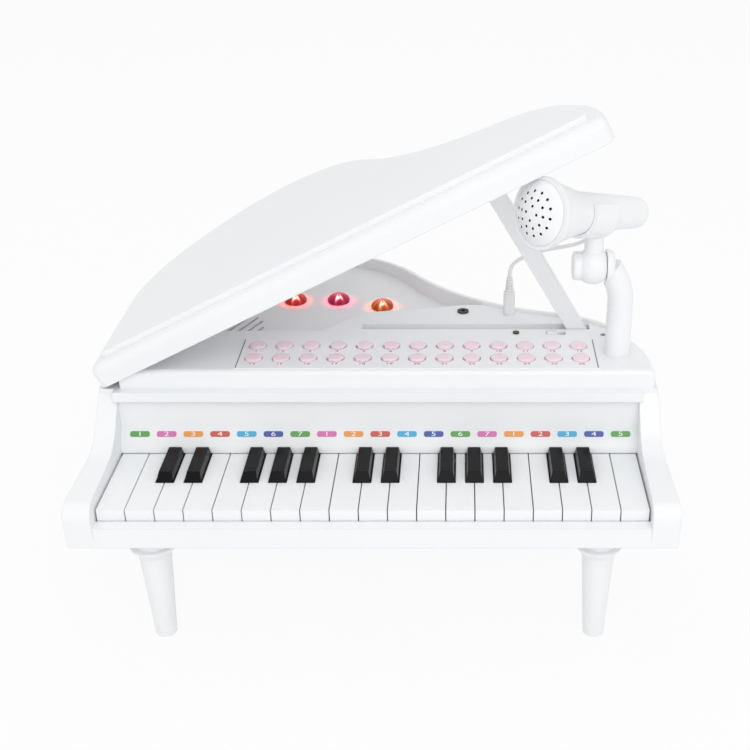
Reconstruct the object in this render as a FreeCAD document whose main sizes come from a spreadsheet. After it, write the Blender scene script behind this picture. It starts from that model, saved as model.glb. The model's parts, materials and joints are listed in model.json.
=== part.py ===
import FreeCAD, Part
import math
import os

import Sketcher
from FreeCAD import Placement, Rotation, Vector

# A toy grand piano on three legs: sprung keys, a hinged lid on a prop, a row of
# buttons, jewelled lamps and a microphone on a tilting stand.
# Millimetres, +Z up, +X to the player's right, +Y away from the player.
# The origin is on the floor under the middle of the piano.

# Driving dimensions. Depths (…_y) are measured back from the white keys' front edge
# and levels (…_z) up from the white keys' tops, unless the note says otherwise.
SIZES = {
    # keyboard
    "key_height": 120.0,  # floor to the white keys' tops
    "white_pitch": 20.2,
    "key_gap": 0.4,
    "white_length": 84.0,  # front edge to where the key narrows to its neck
    "white_depth": 10.0,
    "key_wall": 1.7,
    "key_shelf": 1.8,  # thickness of a white key's top
    "black_front_y": 35.0,
    "black_width": 12.4,
    "black_top_width": 9.2,
    "black_rise": 6.2,
    "black_rake": 5.0,  # setback of the front face over the rise
    "black_gap": 0.5,
    "pivot_y": 116.0,
    "pivot_z": -5.0,
    "pivot_radius": 1.5,
    "pivot_clearance": 0.08,
    "neck_reach": 6.0,  # key behind the pivot
    "rod_post": 3.0,
    "neck_trim": 3.2,  # taken off a neck that has no black key beside it
    "key_press": 3.0,  # degrees
    # case
    "cheek_thickness": 19.5,
    "cheek_gap": 0.6,
    "wall": 2.4,
    "case_bottom_z": -25.0,
    "ledge_z": 48.3,
    "deck_z": 63.0,
    "lid_inset": 5.5,  # lid edge inboard of the cheeks' noses
    "case_inset": 0.5,  # case side inboard of the closed lid's edge
    "rim_inset": 3.2,  # raised deck inboard of the closed lid's edge
    "hinge_setback": 13.0,  # deck side set back from the rim on the hinge side
    "fascia_y": 80.0,
    "deck_front_y": 87.0,
    "lip_y": 69.5,
    "lip_z": 7.4,
    "lip_height": 1.8,
    "note_rail_y": 83.5,
    "note_rail_z": 19.0,
    "fallboard_top_z": 40.6,
    "deck_edge": 4.0,
    "slip_front_y": -10.0,
    "slip_thickness": 7.0,
    "slip_gap": 2.0,
    "slip_top_z": -9.0,
    "arm_nose": 12.0,
    "arm_front_z": 8.5,
    "arm_nose_radius": 11.0,
    "arm_slope": 4.0,  # degrees
    "arm_back_y": 96.0,
    "arm_crest_radius": 14.0,
    "arm_hollow_radius": 34.0,
    "arm_fall": 50.0,  # degrees
    # lid outline: tangent arcs from the hinge side round the tail to the bent side
    "lid_front_y": 83.0,
    "tail_reach": 320.0,
    "rear_datum": 320.0,  # tail reach for which the rear leg, screws and lamps are placed
    "side_straight": 3.0,  # least straight run of the lid's panel from the front to the hip
    "shoulder_radius": 118.6,
    "shoulder_turn": 46.6,  # degrees
    "back_radius": 215.0,
    "back_turn": 14.6,  # degrees
    "tail_radius": 115.7,
    "tail_turn": 57.1,  # degrees
    "waist_radius": 184.8,
    "waist_turn": 43.5,  # degrees
    "hip_radius": 94.2,
    "lid_corner": 9.0,
    "lid_skirt": 17.5,
    "lid_wall": 2.6,
    "lid_roof": 2.4,
    "lid_shoulder": 7.0,
    "panel_inset": 11.0,
    "panel_rise": 4.2,
    "panel_edge": 1.6,
    "lid_open": 27.0,  # degrees
    "lid_gap": 2.1,  # closed lid's edge above the ledge
    "hinge_offset": 4.0,  # hinge pin in and up from the lid's lower corner
    "knuckle_radius": 3.6,
    "knuckle_width": 10.0,
    "knuckle_gap": 0.6,
    "barrel_length": 9.0,
    "hinge_pin_radius": 1.5,
    "hinge_clearance": 0.1,
    "hinge_front_y": 104.0,
    "hinge_back_y": 176.0,
    # recess with the sounding board
    "recess_y": 156.0,
    "recess_corner_x": -48.6,
    "recess_bend_x": -19.0,
    "recess_bend_y": 190.0,
    "recess_tip_x": 66.0,
    "recess_tip_y": 206.0,
    "recess_rim": 3.5,
    "rim_z": 65.2,
    "recess_front_z": 48.0,
    "recess_back_z": 56.0,
    "slit_width": 2.4,
    "slit_length": 48.0,  # of the middle slit
    "slit_pitch": 8.0,
    "slit_angle": 62.0,  # degrees
    "slit_x": -124.0,
    "slit_y": 191.0,
    # lid prop
    "prop_x": 154.7,
    "prop_y": 164.0,
    "prop_z": 57.0,
    "prop_width": 13.4,
    "prop_thickness": 9.0,
    "prop_lean": 59.6,  # degrees above the deck
    "prop_gap": 0.3,
    "prop_pin_radius": 2.5,
    "prop_pin_length": 2.6,
    "prop_groove_gap": 0.6,
    # buttons and label
    "button_pitch": 20.35,
    "button_row_pitch": 21.0,
    "button_first_x": -93.8,
    "button_front_y": 107.0,
    "button_radius": 6.4,
    "button_gap": 0.5,
    "button_rise": 2.2,
    "button_travel": 1.2,
    "button_flange": 1.3,
    "label_left_x": -106.0,
    "label_right_x": 163.0,
    "label_front_y": 91.0,
    "label_back_y": 140.0,
    "label_thickness": 0.5,
    # small fittings on the deck
    "switch_x": 132.0,
    "switch_y": 152.0,
    "switch_length": 8.0,
    "switch_width": 4.6,
    "switch_rise": 2.6,
    "switch_travel": 6.0,
    "switch_gap": 0.3,
    "led_x": 103.8,
    "led_y": 152.0,
    "led_radius": 2.5,
    "aux_x": 62.5,
    "aux_y": 192.0,
    "plug_x": 99.5,
    "plug_y": 187.0,
    "jack_radius": 4.6,
    "jack_bore": 1.8,
    "jack_rise": 1.2,
    "jack_depth": 13.0,
    "plug_pin_radius": 1.72,
    "plug_radius": 4.6,
    "plug_length": 19.0,
    "relief_radius": 3.0,
    "relief_length": 12.0,
    # jewelled lamps
    "lens_radius": 9.5,
    "lens_table": 5.6,
    "lens_girdle": 2.4,
    "lens_height": 6.8,
    "lens_sides": 12.0,
    # microphone and its stand
    "stand_x": 178.4,
    "stand_y": 117.0,
    "stand_tube": 9.4,
    "stand_straight": 42.2,
    "stand_bend": 43.0,
    "stand_turn": 38.0,  # degrees
    "stand_foot": 10.4,
    "stand_foot_height": 1.5,
    "hub_radius": 13.5,
    "hub_half": 9.0,
    "hub_disc": 10.5,
    "hub_disc_width": 6.0,
    "hub_disc_edge": 2.0,
    "hub_gap": 0.4,
    "hub_pin": 3.0,
    "hub_pin_clearance": 0.1,
    "stand_cheek": 6.0,
    "cheek_step": 1.5,
    "cheek_round": 4.5,
    "neck_radius": 7.0,
    "mic_height": 40.5,  # hub centre up to the microphone's axis
    "mic_turn": 41.0,  # degrees from straight left towards the player
    "mic_raise": 12.8,  # degrees
    "mic_grille": 22.5,
    "mic_dome": 8.5,  # height of the grille
    "grille_hole": 0.95,
    "grille_floor": 0.8,  # left under the holes
    "mic_rim": 25.0,
    "mic_rim_width": 4.0,
    "mic_rim_place": 58.0,  # rim ahead of the hub
    "mic_cone": 32.0,
    "handle_front": 15.2,
    "handle_tail": 11.6,
    "handle_length": 71.5,
    "handle_end": 7.0,
    "clip_wall": 2.6,
    "clip_length": 24.0,
    "clip_place": 7.0,  # middle of the clip ahead of the hub
    "clip_wrap": 250.0,  # degrees
    "cord_diameter": 3.0,
    # legs and underside
    "leg_x": 160.0,
    "leg_front_y": 18.0,
    "leg_rear_x": -70.0,
    "leg_rear_y": 262.0,
    "leg_boss_radius": 14.0,
    "leg_boss_height": 14.0,
    "leg_flare": 17.0,
    "leg_flare_height": 9.0,
    "leg_top_radius": 11.8,
    "leg_foot_radius": 7.8,
    "leg_spigot": 8.0,
    "leg_spigot_length": 12.0,
    "fit_gap": 0.2,
    "cover_wall": 2.5,
    "hatch_x": 20.0,
    "hatch_y": 190.0,
    "hatch_width": 78.0,
    "hatch_depth": 62.0,
    "hatch_gap": 0.5,
    # inside
    "board_front_y": 52.0,
    "board_depth": 44.0,
    "board_thickness": 1.6,
    "contact_y": 62.0,
    "contact_width": 10.0,
    "contact_gap": 0.5,  # pressed key above the rubber
    "speaker_radius": 28.0,
    "speaker_depth": 17.0,
    "screw_head": 3.4,
    "screw_radius": 1.5,
    "screw_length": 12.0,
    "screw_boss": 4.2,
}
WHITE_NOTES = "b0 c1 d1 e1 f1 g1 a1 b1 c2 d2 e2 f2 g2 a2 b2 c3 d3 e3 f3".split()
BLACK_AFTER = [1, 2, 4, 5, 6, 8, 9, 11, 12, 13, 15, 16]  # white key on the left of each black key
BUTTON_GROUPS = {
    "buttons_round_left": (0, 3, "round"),
    "buttons_flower": (3, 3, "flower"),
    "buttons_octagon": (6, 4, "octagon"),
    "buttons_round_right": (10, 3, "round"),
}
GRILLE_RINGS = [(4, 0.22), (10, 0.45), (14, 0.67)]  # holes, and ring as a share of the grille
LAMP_SPOTS = [(-79.5, 238.0), (-43.0, 238.5), (-5.3, 227.0)]
CORD_ROUTE = [
    (0.0, 0.0, 0.1),
    (0.0, 0.0, 6.5),
    (3.2, 0.6, 12.3),
    (11.5, 0.5, 17.5),
    (24.0, -4.0, 24.5),
    (38.5, -11.5, 30.0),
    (51.5, -17.5, 35.0),
    (65.5, -24.5, 46.0),
]
SCREW_SPOTS = [(-176.0, 136.0), (176.0, 136.0)]
REAR_SCREW_SPOTS = [(-130.0, 262.0), (20.0, 244.0)]
BEND_EASE = 1.7  # how fast the bend flattens as the tail comes forward

doc = FreeCAD.newDocument("toy_piano")
sheet = doc.addObject("Spreadsheet::Sheet", "Sizes")
for row, (name, number) in enumerate(SIZES.items(), start=1):
    sheet.set(f"A{row}", name)
    sheet.set(f"B{row}", f"{number:.10g}")
    sheet.setAlias(f"B{row}", name)
doc.recompute()


def size(name):
    """A driving dimension, read from the sheet."""
    return float(sheet.get(name))


def cells(text):
    """An expression in the sheet's names, with each name pointed at its cell."""
    words = []
    for word in text.replace("(", " ( ").replace(")", " ) ").split():
        words.append(f"Sizes.{word}" if word in SIZES else word)
    return " ".join(words)


def value(text):
    """The number that an expression in the sheet's names comes to."""
    return float(sheet.evalExpression(cells(text)))


WHITE_COUNT = len(WHITE_NOTES)
BASE_Y = "( arm_nose - tail_reach ) / 2"  # the keys' front edge in the piano's own frame
HALF_KEYS = f"white_pitch * {WHITE_COUNT} / 2"
KEY_Y = value(BASE_Y)
KEY_Z = size("key_height")
HALF_BAY = value(HALF_KEYS) + size("cheek_gap")
HALF_WIDTH = HALF_BAY + size("cheek_thickness")
HALF_LID = HALF_WIDTH - size("lid_inset")
PARTS = {}


def y_at(name):
    return KEY_Y + size(name)


def moved_back(spots):
    """Places on the rear half of the case, which move with the tail."""
    shift = size("tail_reach") - size("rear_datum")
    return [(x, y + shift) for x, y in spots]


def screw_spots():
    return SCREW_SPOTS + moved_back(REAR_SCREW_SPOTS)


def z_at(name):
    return KEY_Z + size(name)


def keep(label, thing):
    """Name a finished sub-part."""
    thing.Label = label
    PARTS[label] = thing
    return thing


# Sketches and features


def plane_sketch(body, role, name, lift=None):
    plane = [item for item in body.Origin.OriginFeatures if item.Role == role][0]
    sketch = body.newObject("Sketcher::SketchObject", name)
    sketch.AttachmentSupport = [(plane, "")]
    sketch.MapMode = "FlatFace"
    if lift is not None:
        sketch.setExpression("AttachmentOffset.Base.z", cells(lift))
    return sketch


def bound_polygon(sketch, corners):
    """Straight-sided outline whose corners are bound to the sheet."""
    points = [Vector(value(x), value(y), 0) for x, y in corners]
    first = sketch.GeometryCount
    count = len(points)
    for i in range(count):
        sketch.addGeometry(Part.LineSegment(points[i], points[(i + 1) % count]))
    for i in range(count):
        sketch.addConstraint(
            Sketcher.Constraint("Coincident", first + i, 2, first + (i + 1) % count, 1)
        )
    for i, (x, y) in enumerate(corners):
        for kind, text, number in (("DistanceX", x, points[i].x), ("DistanceY", y, points[i].y)):
            index = sketch.addConstraint(Sketcher.Constraint(kind, -1, 1, first + i, 1, number))
            sketch.setExpression(f"Constraints[{index}]", cells(text))


def bound_box(sketch, x0, y0, x1, y1):
    bound_polygon(sketch, [(x0, y0), (x1, y0), (x1, y1), (x0, y1)])


def bound_circle(sketch, x, y, radius):
    centre = Vector(value(x), value(y), 0)
    item = sketch.addGeometry(Part.Circle(centre, Vector(0, 0, 1), value(radius)))
    for kind, text, number in (("DistanceX", x, centre.x), ("DistanceY", y, centre.y)):
        index = sketch.addConstraint(Sketcher.Constraint(kind, -1, 1, item, 3, number))
        sketch.setExpression(f"Constraints[{index}]", cells(text))
    index = sketch.addConstraint(Sketcher.Constraint("Radius", item, value(radius)))
    sketch.setExpression(f"Constraints[{index}]", cells(radius))


def feature(body, kind, name, sketch, length, midplane=False, reverse=False):
    """A pad or pocket of a sketch, with its length bound to the sheet."""
    item = body.newObject(f"PartDesign::{kind}", name)
    item.Profile = sketch
    item.setExpression("Length", cells(length))
    item.Midplane = midplane
    item.Reversed = reverse
    return item


def loose_sketch(name, pieces, placement=None):
    """A sketch outside any body, drawn with lines and arcs."""
    sketch = doc.addObject("Sketcher::SketchObject", name)
    for piece in pieces:
        sketch.addGeometry(piece)
    if placement is not None:
        sketch.Placement = placement
    return sketch


def extrude(name, sketch, length, start=0.0):
    """A prism of a sketch along its own normal."""
    item = doc.addObject("Part::Extrusion", name)
    item.Base = sketch
    item.DirMode = "Normal"
    item.Solid = True
    item.LengthFwd = length + start
    item.LengthRev = -start
    return item


def box(name, low, high):
    item = doc.addObject("Part::Box", name)
    item.Length, item.Width, item.Height = (b - a for a, b in zip(low, high))
    item.Placement.Base = Vector(*low)
    return item


def cylinder(name, radius, height, base, axis=Vector(0, 0, 1)):
    item = doc.addObject("Part::Cylinder", name)
    item.setExpression("Radius", cells(radius))
    item.Height = height
    item.Placement = Placement(base, Rotation(Vector(0, 0, 1), axis))
    return item


def fuse(name, items):
    item = doc.addObject("Part::MultiFuse", name)
    item.Shapes = items
    return item


def common(name, items):
    item = doc.addObject("Part::MultiCommon", name)
    item.Shapes = items
    return item


def cut(name, base, tool):
    item = doc.addObject("Part::Cut", name)
    item.Base = base
    item.Tool = tool
    return item


def polygon_lines(points):
    ring = [Vector(x, y, 0) for x, y in points]
    return [Part.LineSegment(a, b) for a, b in zip(ring, ring[1:] + ring[:1])]


def tangent_path(start, heading, steps):
    """Lines and tangent arcs: a step is a length, or a radius with a turn in degrees, left positive."""
    point = Vector(*start, 0)
    angle = math.radians(heading)
    pieces = []
    for step in steps:
        if isinstance(step, float):
            end = point + Vector(math.cos(angle), math.sin(angle), 0) * step
            pieces.append(Part.LineSegment(point, end))
        else:
            radius, turn = step
            side = math.copysign(1.0, turn)
            sweep = math.radians(turn)
            centre = point + Vector(-math.sin(angle), math.cos(angle), 0) * (radius * side)
            spots = []
            for part in (0.5, 1.0):
                a = angle + sweep * part
                spots.append(centre + Vector(math.sin(a), -math.cos(a), 0) * (radius * side))
            pieces.append(Part.Arc(point, spots[0], spots[1]))
            end = spots[1]
            angle += sweep
        point = end
    return pieces, point


# Sketch plane whose x runs along Y, its y along Z and its normal along X
SIDE_VIEW = Rotation(Vector(1, 1, 1), 120)


def bent_side(share):
    """Radii, turns, scale and depths of the lid's outline, with a share of its tail bend."""
    radii = {}
    turns = {}
    for name in ("shoulder", "back", "tail", "waist"):
        radii[name] = size(f"{name}_radius")
        turns[name] = math.radians(size(f"{name}_turn"))
    radii["hip"] = size("hip_radius")
    turns["tail"] *= share
    turns["waist"] *= share
    rise = turns["shoulder"] + turns["back"]
    fall = turns["tail"] - turns["waist"]
    natural = radii["shoulder"] * (1 - math.cos(turns["shoulder"]))
    natural += radii["back"] * (math.cos(turns["shoulder"]) - math.cos(rise))
    natural += radii["tail"] * (math.cos(rise) + math.sin(turns["tail"]))
    natural += radii["waist"] * (math.sin(turns["tail"]) - math.sin(fall))
    natural += radii["hip"] * (1 - math.sin(fall))
    fit = 2 * HALF_LID / natural
    left = radii["shoulder"] * math.sin(turns["shoulder"])
    left += radii["back"] * (math.sin(rise) - math.sin(turns["shoulder"]))
    left += radii["tail"] * (1 - math.sin(rise))
    right = radii["tail"] * (1 - math.cos(turns["tail"]))
    right += radii["waist"] * (math.cos(fall) - math.cos(turns["tail"]))
    right += radii["hip"] * math.cos(fall)
    return radii, turns, fit, left * fit, right * fit


def bent_steps(inset):
    """The lid's outline as tangent arcs, moved inwards by an inset."""
    radii, turns, fit, left, right = bent_side(1.0)
    room = size("tail_reach") - size("lid_front_y") - size("panel_inset") - size("side_straight")
    if room < right:
        # a shorter piano has a flatter bend
        radii, turns, fit, left, right = bent_side((room / right) ** BEND_EASE)
    bend = {name: math.degrees(turn) for name, turn in turns.items()}
    quarter = 90 - bend["shoulder"] - bend["back"]
    steps = [
        (radii["shoulder"] * fit - inset, -bend["shoulder"]),
        (radii["back"] * fit - inset, -bend["back"]),
        (radii["tail"] * fit - inset, -quarter - bend["tail"]),
        (radii["waist"] * fit + inset, bend["waist"]),
        (radii["hip"] * fit - inset, -90 + bend["tail"] - bend["waist"]),
    ]
    tail = KEY_Y + size("tail_reach")
    return steps, tail - left, tail - right


def bent_outline(inset, front, corner=0.0):
    """Closed grand-piano outline, straight across the front."""
    steps, left_end, right_end = bent_steps(inset)
    edge = HALF_LID - inset
    corner = min(corner, 0.8 * (right_end - front), 0.8 * (left_end - front))
    path = [left_end - front - corner] + steps + [right_end - front - corner]
    if corner:
        path = path + [(corner, -90.0), 2 * (edge - corner), (corner, -90.0)]
        pieces, end = tangent_path((-edge, front + corner), 90, path)
        return pieces
    pieces, end = tangent_path((-edge, front), 90, path)
    pieces.append(Part.LineSegment(end, Vector(-edge, front, 0)))
    return pieces


# Keyboard


def white_key(index):
    """A hollow white key with notches for its black neighbours and a neck to the pivot rod."""
    label = f"white_key_{WHITE_NOTES[index]}"
    body = doc.addObject("PartDesign::Body", label)
    centre = f"white_pitch * {index - (WHITE_COUNT - 1) / 2:g}"
    half = "( white_pitch - key_gap ) / 2"
    notch = "( black_width / 2 + black_gap )"
    left, right = f"{centre} - {half}", f"{centre} + {half}"
    tail_left, tail_right = left, right
    neck_left, neck_right = f"{left} + neck_trim", f"{right} - neck_trim"
    if index - 1 in BLACK_AFTER:
        tail_left = f"{centre} - white_pitch / 2 + {notch}"
        neck_left = tail_left
    if index in BLACK_AFTER:
        tail_right = f"{centre} + white_pitch / 2 - {notch}"
        neck_right = tail_right
    notch_y = f"{BASE_Y} + black_front_y - black_gap"
    sketch = plane_sketch(body, "XY_Plane", f"{label}_top", "key_height")
    outline = [
        (left, BASE_Y),
        (right, BASE_Y),
        (right, notch_y),
        (tail_right, notch_y),
        (tail_right, f"{BASE_Y} + white_length"),
        (neck_right, f"{BASE_Y} + white_length"),
        (neck_right, f"{BASE_Y} + pivot_y + neck_reach"),
        (neck_left, f"{BASE_Y} + pivot_y + neck_reach"),
        (neck_left, f"{BASE_Y} + white_length"),
        (tail_left, f"{BASE_Y} + white_length"),
        (tail_left, notch_y),
        (left, notch_y),
    ]
    corners = [point for i, point in enumerate(outline) if point != outline[i - 1]]
    straight = []
    for i, point in enumerate(corners):
        before = corners[i - 1]
        after = corners[(i + 1) % len(corners)]
        if not before[0] == point[0] == after[0]:
            straight.append(point)
    bound_polygon(sketch, straight)
    feature(body, "Pad", f"{label}_block", sketch, "white_depth", reverse=True)
    sketch = plane_sketch(body, "XY_Plane", f"{label}_hollow_outline", "key_height - white_depth")
    bound_box(
        sketch,
        f"{left} + key_wall",
        f"{BASE_Y} + key_wall",
        f"{right} - key_wall",
        f"{notch_y} - key_wall",
    )
    feature(body, "Pocket", f"{label}_hollow", sketch, "white_depth - key_shelf", reverse=True)
    sketch = plane_sketch(body, "YZ_Plane", f"{label}_eye_outline", centre)
    bound_circle(
        sketch,
        f"{BASE_Y} + pivot_y",
        "key_height + pivot_z",
        "pivot_radius + pivot_clearance",
    )
    feature(body, "Pocket", f"{label}_eye", sketch, "white_pitch * 2", midplane=True)
    keep(label, body)


def black_key(order, index):
    """A raked black key on a straight stem that reaches back to the pivot rod."""
    label = f"black_key_{order + 1:02d}"
    centre = f"white_pitch * {index + 1 - WHITE_COUNT / 2:g}"
    cap = doc.addObject("Part::Wedge", f"{label}_cap")
    front = f"{BASE_Y} + black_front_y"
    back = f"{BASE_Y} + pivot_y + neck_reach"
    bounds = {
        "Xmin": f"{centre} - black_width / 2",
        "Xmax": f"{centre} + black_width / 2",
        "X2min": f"{centre} - black_top_width / 2",
        "X2max": f"{centre} + black_top_width / 2",
        "Ymin": "0",
        "Ymax": "black_rise",
        "Zmin": f"0 - ( {BASE_Y} ) - white_length",
        "Zmax": f"0 - ( {front} )",
        "Z2min": f"0 - ( {BASE_Y} ) - white_length",
        "Z2max": f"0 - ( {front} ) - black_rake",
    }
    for name, text in bounds.items():
        cap.setExpression(name, cells(text))
    cap.Placement = Placement(Vector(0, 0, KEY_Z), Rotation(Vector(1, 0, 0), 90))
    stem = doc.addObject("Part::Box", f"{label}_stem")
    stem.setExpression("Length", cells("black_width"))
    stem.setExpression("Width", cells(f"{back} - ( {front} )"))
    stem.setExpression("Height", cells("white_depth"))
    stem.setExpression("Placement.Base.x", cells(f"{centre} - black_width / 2"))
    stem.setExpression("Placement.Base.y", cells(front))
    stem.setExpression("Placement.Base.z", cells("key_height - white_depth"))
    blank = fuse(f"{label}_blank", [cap, stem])
    base = Vector(value(f"{centre} - black_width"), y_at("pivot_y"), z_at("pivot_z"))
    eye = cylinder(
        f"{label}_eye", "pivot_radius + pivot_clearance", 2 * size("black_width"), base, Vector(1, 0, 0)
    )
    keep(label, cut(f"{label}_key", blank, eye))


def keyboard():
    for index in range(WHITE_COUNT):
        white_key(index)
    for order, index in enumerate(BLACK_AFTER):
        black_key(order, index)
    reach = HALF_BAY + size("wall")
    keep(
        "key_pivot_rod",
        cylinder(
            "key_pivot_rod",
            "pivot_radius",
            2 * reach,
            Vector(-reach, y_at("pivot_y"), z_at("pivot_z")),
            Vector(1, 0, 0),
        ),
    )


# Case


def arm_profile(inset):
    """Side view of a cheek: a crest under the lid, an S-curve down and a rounded nose."""
    fall = size("arm_fall")
    slope = size("arm_slope")
    crest = size("arm_crest_radius") - inset
    hollow = size("arm_hollow_radius") + inset
    nose = size("arm_nose_radius") - inset
    full_nose = size("arm_nose_radius")
    turn_back = fall - slope
    low = math.radians(slope)
    steep = math.radians(fall)
    crest_full = size("arm_crest_radius")
    hollow_full = size("arm_hollow_radius")
    # the straight run between the two curves is what makes the arm meet its front level
    drop = size("ledge_z") - size("arm_front_z")
    span = size("arm_back_y") + size("arm_nose") - full_nose
    drop -= crest_full * (1 - math.cos(steep)) + hollow_full * (math.cos(low) - math.cos(steep))
    span -= crest_full * math.sin(steep) + hollow_full * (math.sin(steep) - math.sin(low))
    run = (drop - span * math.tan(low)) / (math.sin(steep) - math.cos(steep) * math.tan(low))
    flat = (span - run * math.cos(steep)) / math.cos(low)
    top = z_at("ledge_z") - inset
    start = (y_at("arm_back_y"), top)
    steps = [
        (crest, fall),
        run,
        (hollow, -turn_back),
        flat,
        (nose, 90.0),
    ]
    pieces, end = tangent_path(start, 180, steps)
    bottom = z_at("case_bottom_z")
    foot = Vector(end.x + (end.y - bottom) * math.tan(low), bottom, 0)
    back = Vector(start[0], bottom, 0)
    pieces.append(Part.LineSegment(end, foot))
    pieces.append(Part.LineSegment(foot, back))
    pieces.append(Part.LineSegment(back, Vector(*start, 0)))
    return pieces


def arm_plans(inset):
    """Plan of the two cheeks, which flare out from the case towards their noses."""
    front = y_at("slip_front_y") - size("arm_nose")
    back = y_at("arm_back_y")
    inner = HALF_BAY + inset
    outer_back = HALF_LID - size("case_inset") - inset
    outer_front = HALF_WIDTH - inset
    pieces = []
    for side in (-1, 1):
        corners = [(inner, front), (outer_front, front), (outer_back, back), (inner, back)]
        pieces += polygon_lines([(side * x, y) for x, y in corners])
    return pieces


def cheeks(name, inset):
    reach = 2 * HALF_WIDTH
    side = Placement(Vector(-HALF_WIDTH, 0, 0), SIDE_VIEW)
    profile = loose_sketch(f"{name}_profile", arm_profile(inset), side)
    plan = loose_sketch(f"{name}_plan", arm_plans(inset))
    solid = extrude(f"{name}_sides", profile, reach)
    flare = extrude(f"{name}_flare", plan, z_at("deck_z"))
    return common(name, [solid, flare])


def across(name, points, half):
    """A prism along X from a straight-sided side view of depths and levels."""
    side = Placement(Vector(-half, 0, 0), SIDE_VIEW)
    outline = polygon_lines([(KEY_Y + y, KEY_Z + z) for y, z in points])
    return extrude(name, loose_sketch(f"{name}_profile", outline, side), 2 * half)


def fallboard():
    """Note rail, fallboard and fascia between the cheeks."""
    wall = size("wall")
    lip, lip_z = size("lip_y"), size("lip_z")
    rail_y, rail_z = size("note_rail_y"), size("note_rail_z")
    board_y = rail_y + 1
    top = size("fallboard_top_z")
    fascia, ledge = size("fascia_y"), size("ledge_z")
    deck_y = size("deck_front_y")
    outline = [
        (lip, lip_z),
        (lip, lip_z + size("lip_height")),
        (rail_y, rail_z),
        (board_y, top),
        (fascia, top),
        (fascia + 0.6, ledge),
        (deck_y + wall, ledge),
        (deck_y + wall, lip_z),
    ]
    behind = [
        (lip + 1.6 * wall, lip_z - 1),
        (rail_y + 1.1 * wall, rail_z - 0.8 * wall),
        (board_y + wall, top),
        (board_y + wall, ledge - wall),
        (deck_y + 2 * wall, ledge - wall),
        (deck_y + 2 * wall, lip_z - 1),
    ]
    block = across("fallboard_block", outline, HALF_BAY + wall)
    return cut("fallboard", block, across("fallboard_back", behind, HALF_BAY + 2 * wall))


def recess_plan(grow):
    """The sounding board's opening in the deck, forward edge first."""
    far = 2 * HALF_WIDTH
    front = y_at("recess_y") - grow
    return [
        (-far, front),
        (size("recess_corner_x") + grow, front),
        (size("recess_bend_x") + grow, y_at("recess_bend_y") - grow),
        (size("recess_tip_x") + grow, y_at("recess_tip_y") - grow),
        (far, y_at("recess_tip_y") - grow),
        (far, far),
        (-far, far),
    ]


def case_hollow():
    """What is taken out of the case: the inside, the key bay, the recess and the cheeks."""
    wall = size("wall")
    under = size("case_bottom_z") - 1
    inner = bent_outline(size("case_inset") + wall, y_at("deck_front_y"))
    lower = extrude("inside_plan", loose_sketch("inside_outline", inner), 2 * z_at("deck_z"))
    slope = across(
        "inside_slope",
        [
            (size("deck_front_y"), under),
            (size("tail_reach"), under),
            (size("tail_reach"), size("recess_back_z") - wall),
            (size("recess_y"), size("recess_front_z") - wall),
            (size("deck_front_y") + wall, size("recess_front_z") - wall),
            (size("deck_front_y"), size("recess_front_z") - 3 * wall),
        ],
        HALF_WIDTH,
    )
    reach = 2 * HALF_WIDTH
    belly = box("belly", (-reach, -reach, 0), (reach, reach, z_at("ledge_z") - wall))
    inside = common("inside", [lower, slope, belly])
    upper = bent_outline(size("rim_inset") + wall, y_at("deck_front_y") + wall)
    roof = extrude(
        "roof_plan",
        loose_sketch("roof_outline", upper),
        size("deck_z") - size("recess_front_z") + 1,
        z_at("recess_front_z") - wall - 1,
    )
    tall = extrude("loft_plan", loose_sketch("loft_outline", upper), 2 * z_at("deck_z"))
    loft = cut("loft", common("loft_block", [tall, slope]), hinge_side("loft_side", wall))
    keep_clear = loose_sketch("recess_wall_outline", polygon_lines(recess_plan(wall)))
    recess_wall = extrude("recess_wall", keep_clear, 2 * z_at("deck_z"))
    groove_wall = prop_groove("groove_wall", wall)
    side_wall = hinge_side("side_wall", wall)
    attic = cut("attic", roof, fuse("attic_walls", [recess_wall, groove_wall, side_wall]))
    bay = box(
        "key_bay",
        (-HALF_BAY, y_at("slip_front_y") + size("slip_thickness"), KEY_Z + under),
        (HALF_BAY, y_at("deck_front_y") + 2 * wall, z_at("lip_z")),
    )
    rim = bent_outline(size("rim_inset") + size("recess_rim"), y_at("deck_front_y"))
    rim_plan = extrude("recess_rim_plan", loose_sketch("recess_rim_outline", rim), 2 * z_at("deck_z"))
    opening = loose_sketch("recess_outline", polygon_lines(recess_plan(0)))
    recess_space = extrude("recess_space", opening, 2 * z_at("deck_z"))
    above = across(
        "above_slope",
        [
            (0, size("recess_front_z")),
            (size("recess_y"), size("recess_front_z")),
            (size("tail_reach"), size("recess_back_z")),
            (size("tail_reach"), 2 * size("deck_z")),
            (0, 2 * size("deck_z")),
        ],
        HALF_WIDTH,
    )
    side = hinge_side("side_recess_wall", size("recess_rim"))
    recess = cut("recess", common("recess_block", [rim_plan, recess_space, above]), side)
    hollows = cheeks("cheek_hollow", wall)
    return [inside, loft, attic, bay, recess, hollows]


def hinge_side(name, grow):
    """Strip along the hinge side that the lid's edge swings through."""
    edge = HALF_LID - size("rim_inset") - size("hinge_setback") - grow
    return box(
        name,
        (-2 * HALF_WIDTH, -2 * HALF_WIDTH, z_at("ledge_z") - grow),
        (-edge, 2 * HALF_WIDTH, 2 * z_at("deck_z")),
    )


def prop_reach():
    """Length of the prop from its pivot to the underside of the lid."""
    tilt = math.radians(size("lid_open"))
    lean = math.radians(size("prop_lean"))
    pin_x, pin_z = hinge_point()
    up = size("lid_skirt") - size("lid_roof") - size("hinge_offset")
    level = pin_z + (size("prop_x") - pin_x) * math.tan(tilt) + up / math.cos(tilt)
    rise = level - z_at("prop_z")
    return rise / (math.sin(lean) + math.cos(lean) * math.tan(tilt)) - size("prop_gap")


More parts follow.
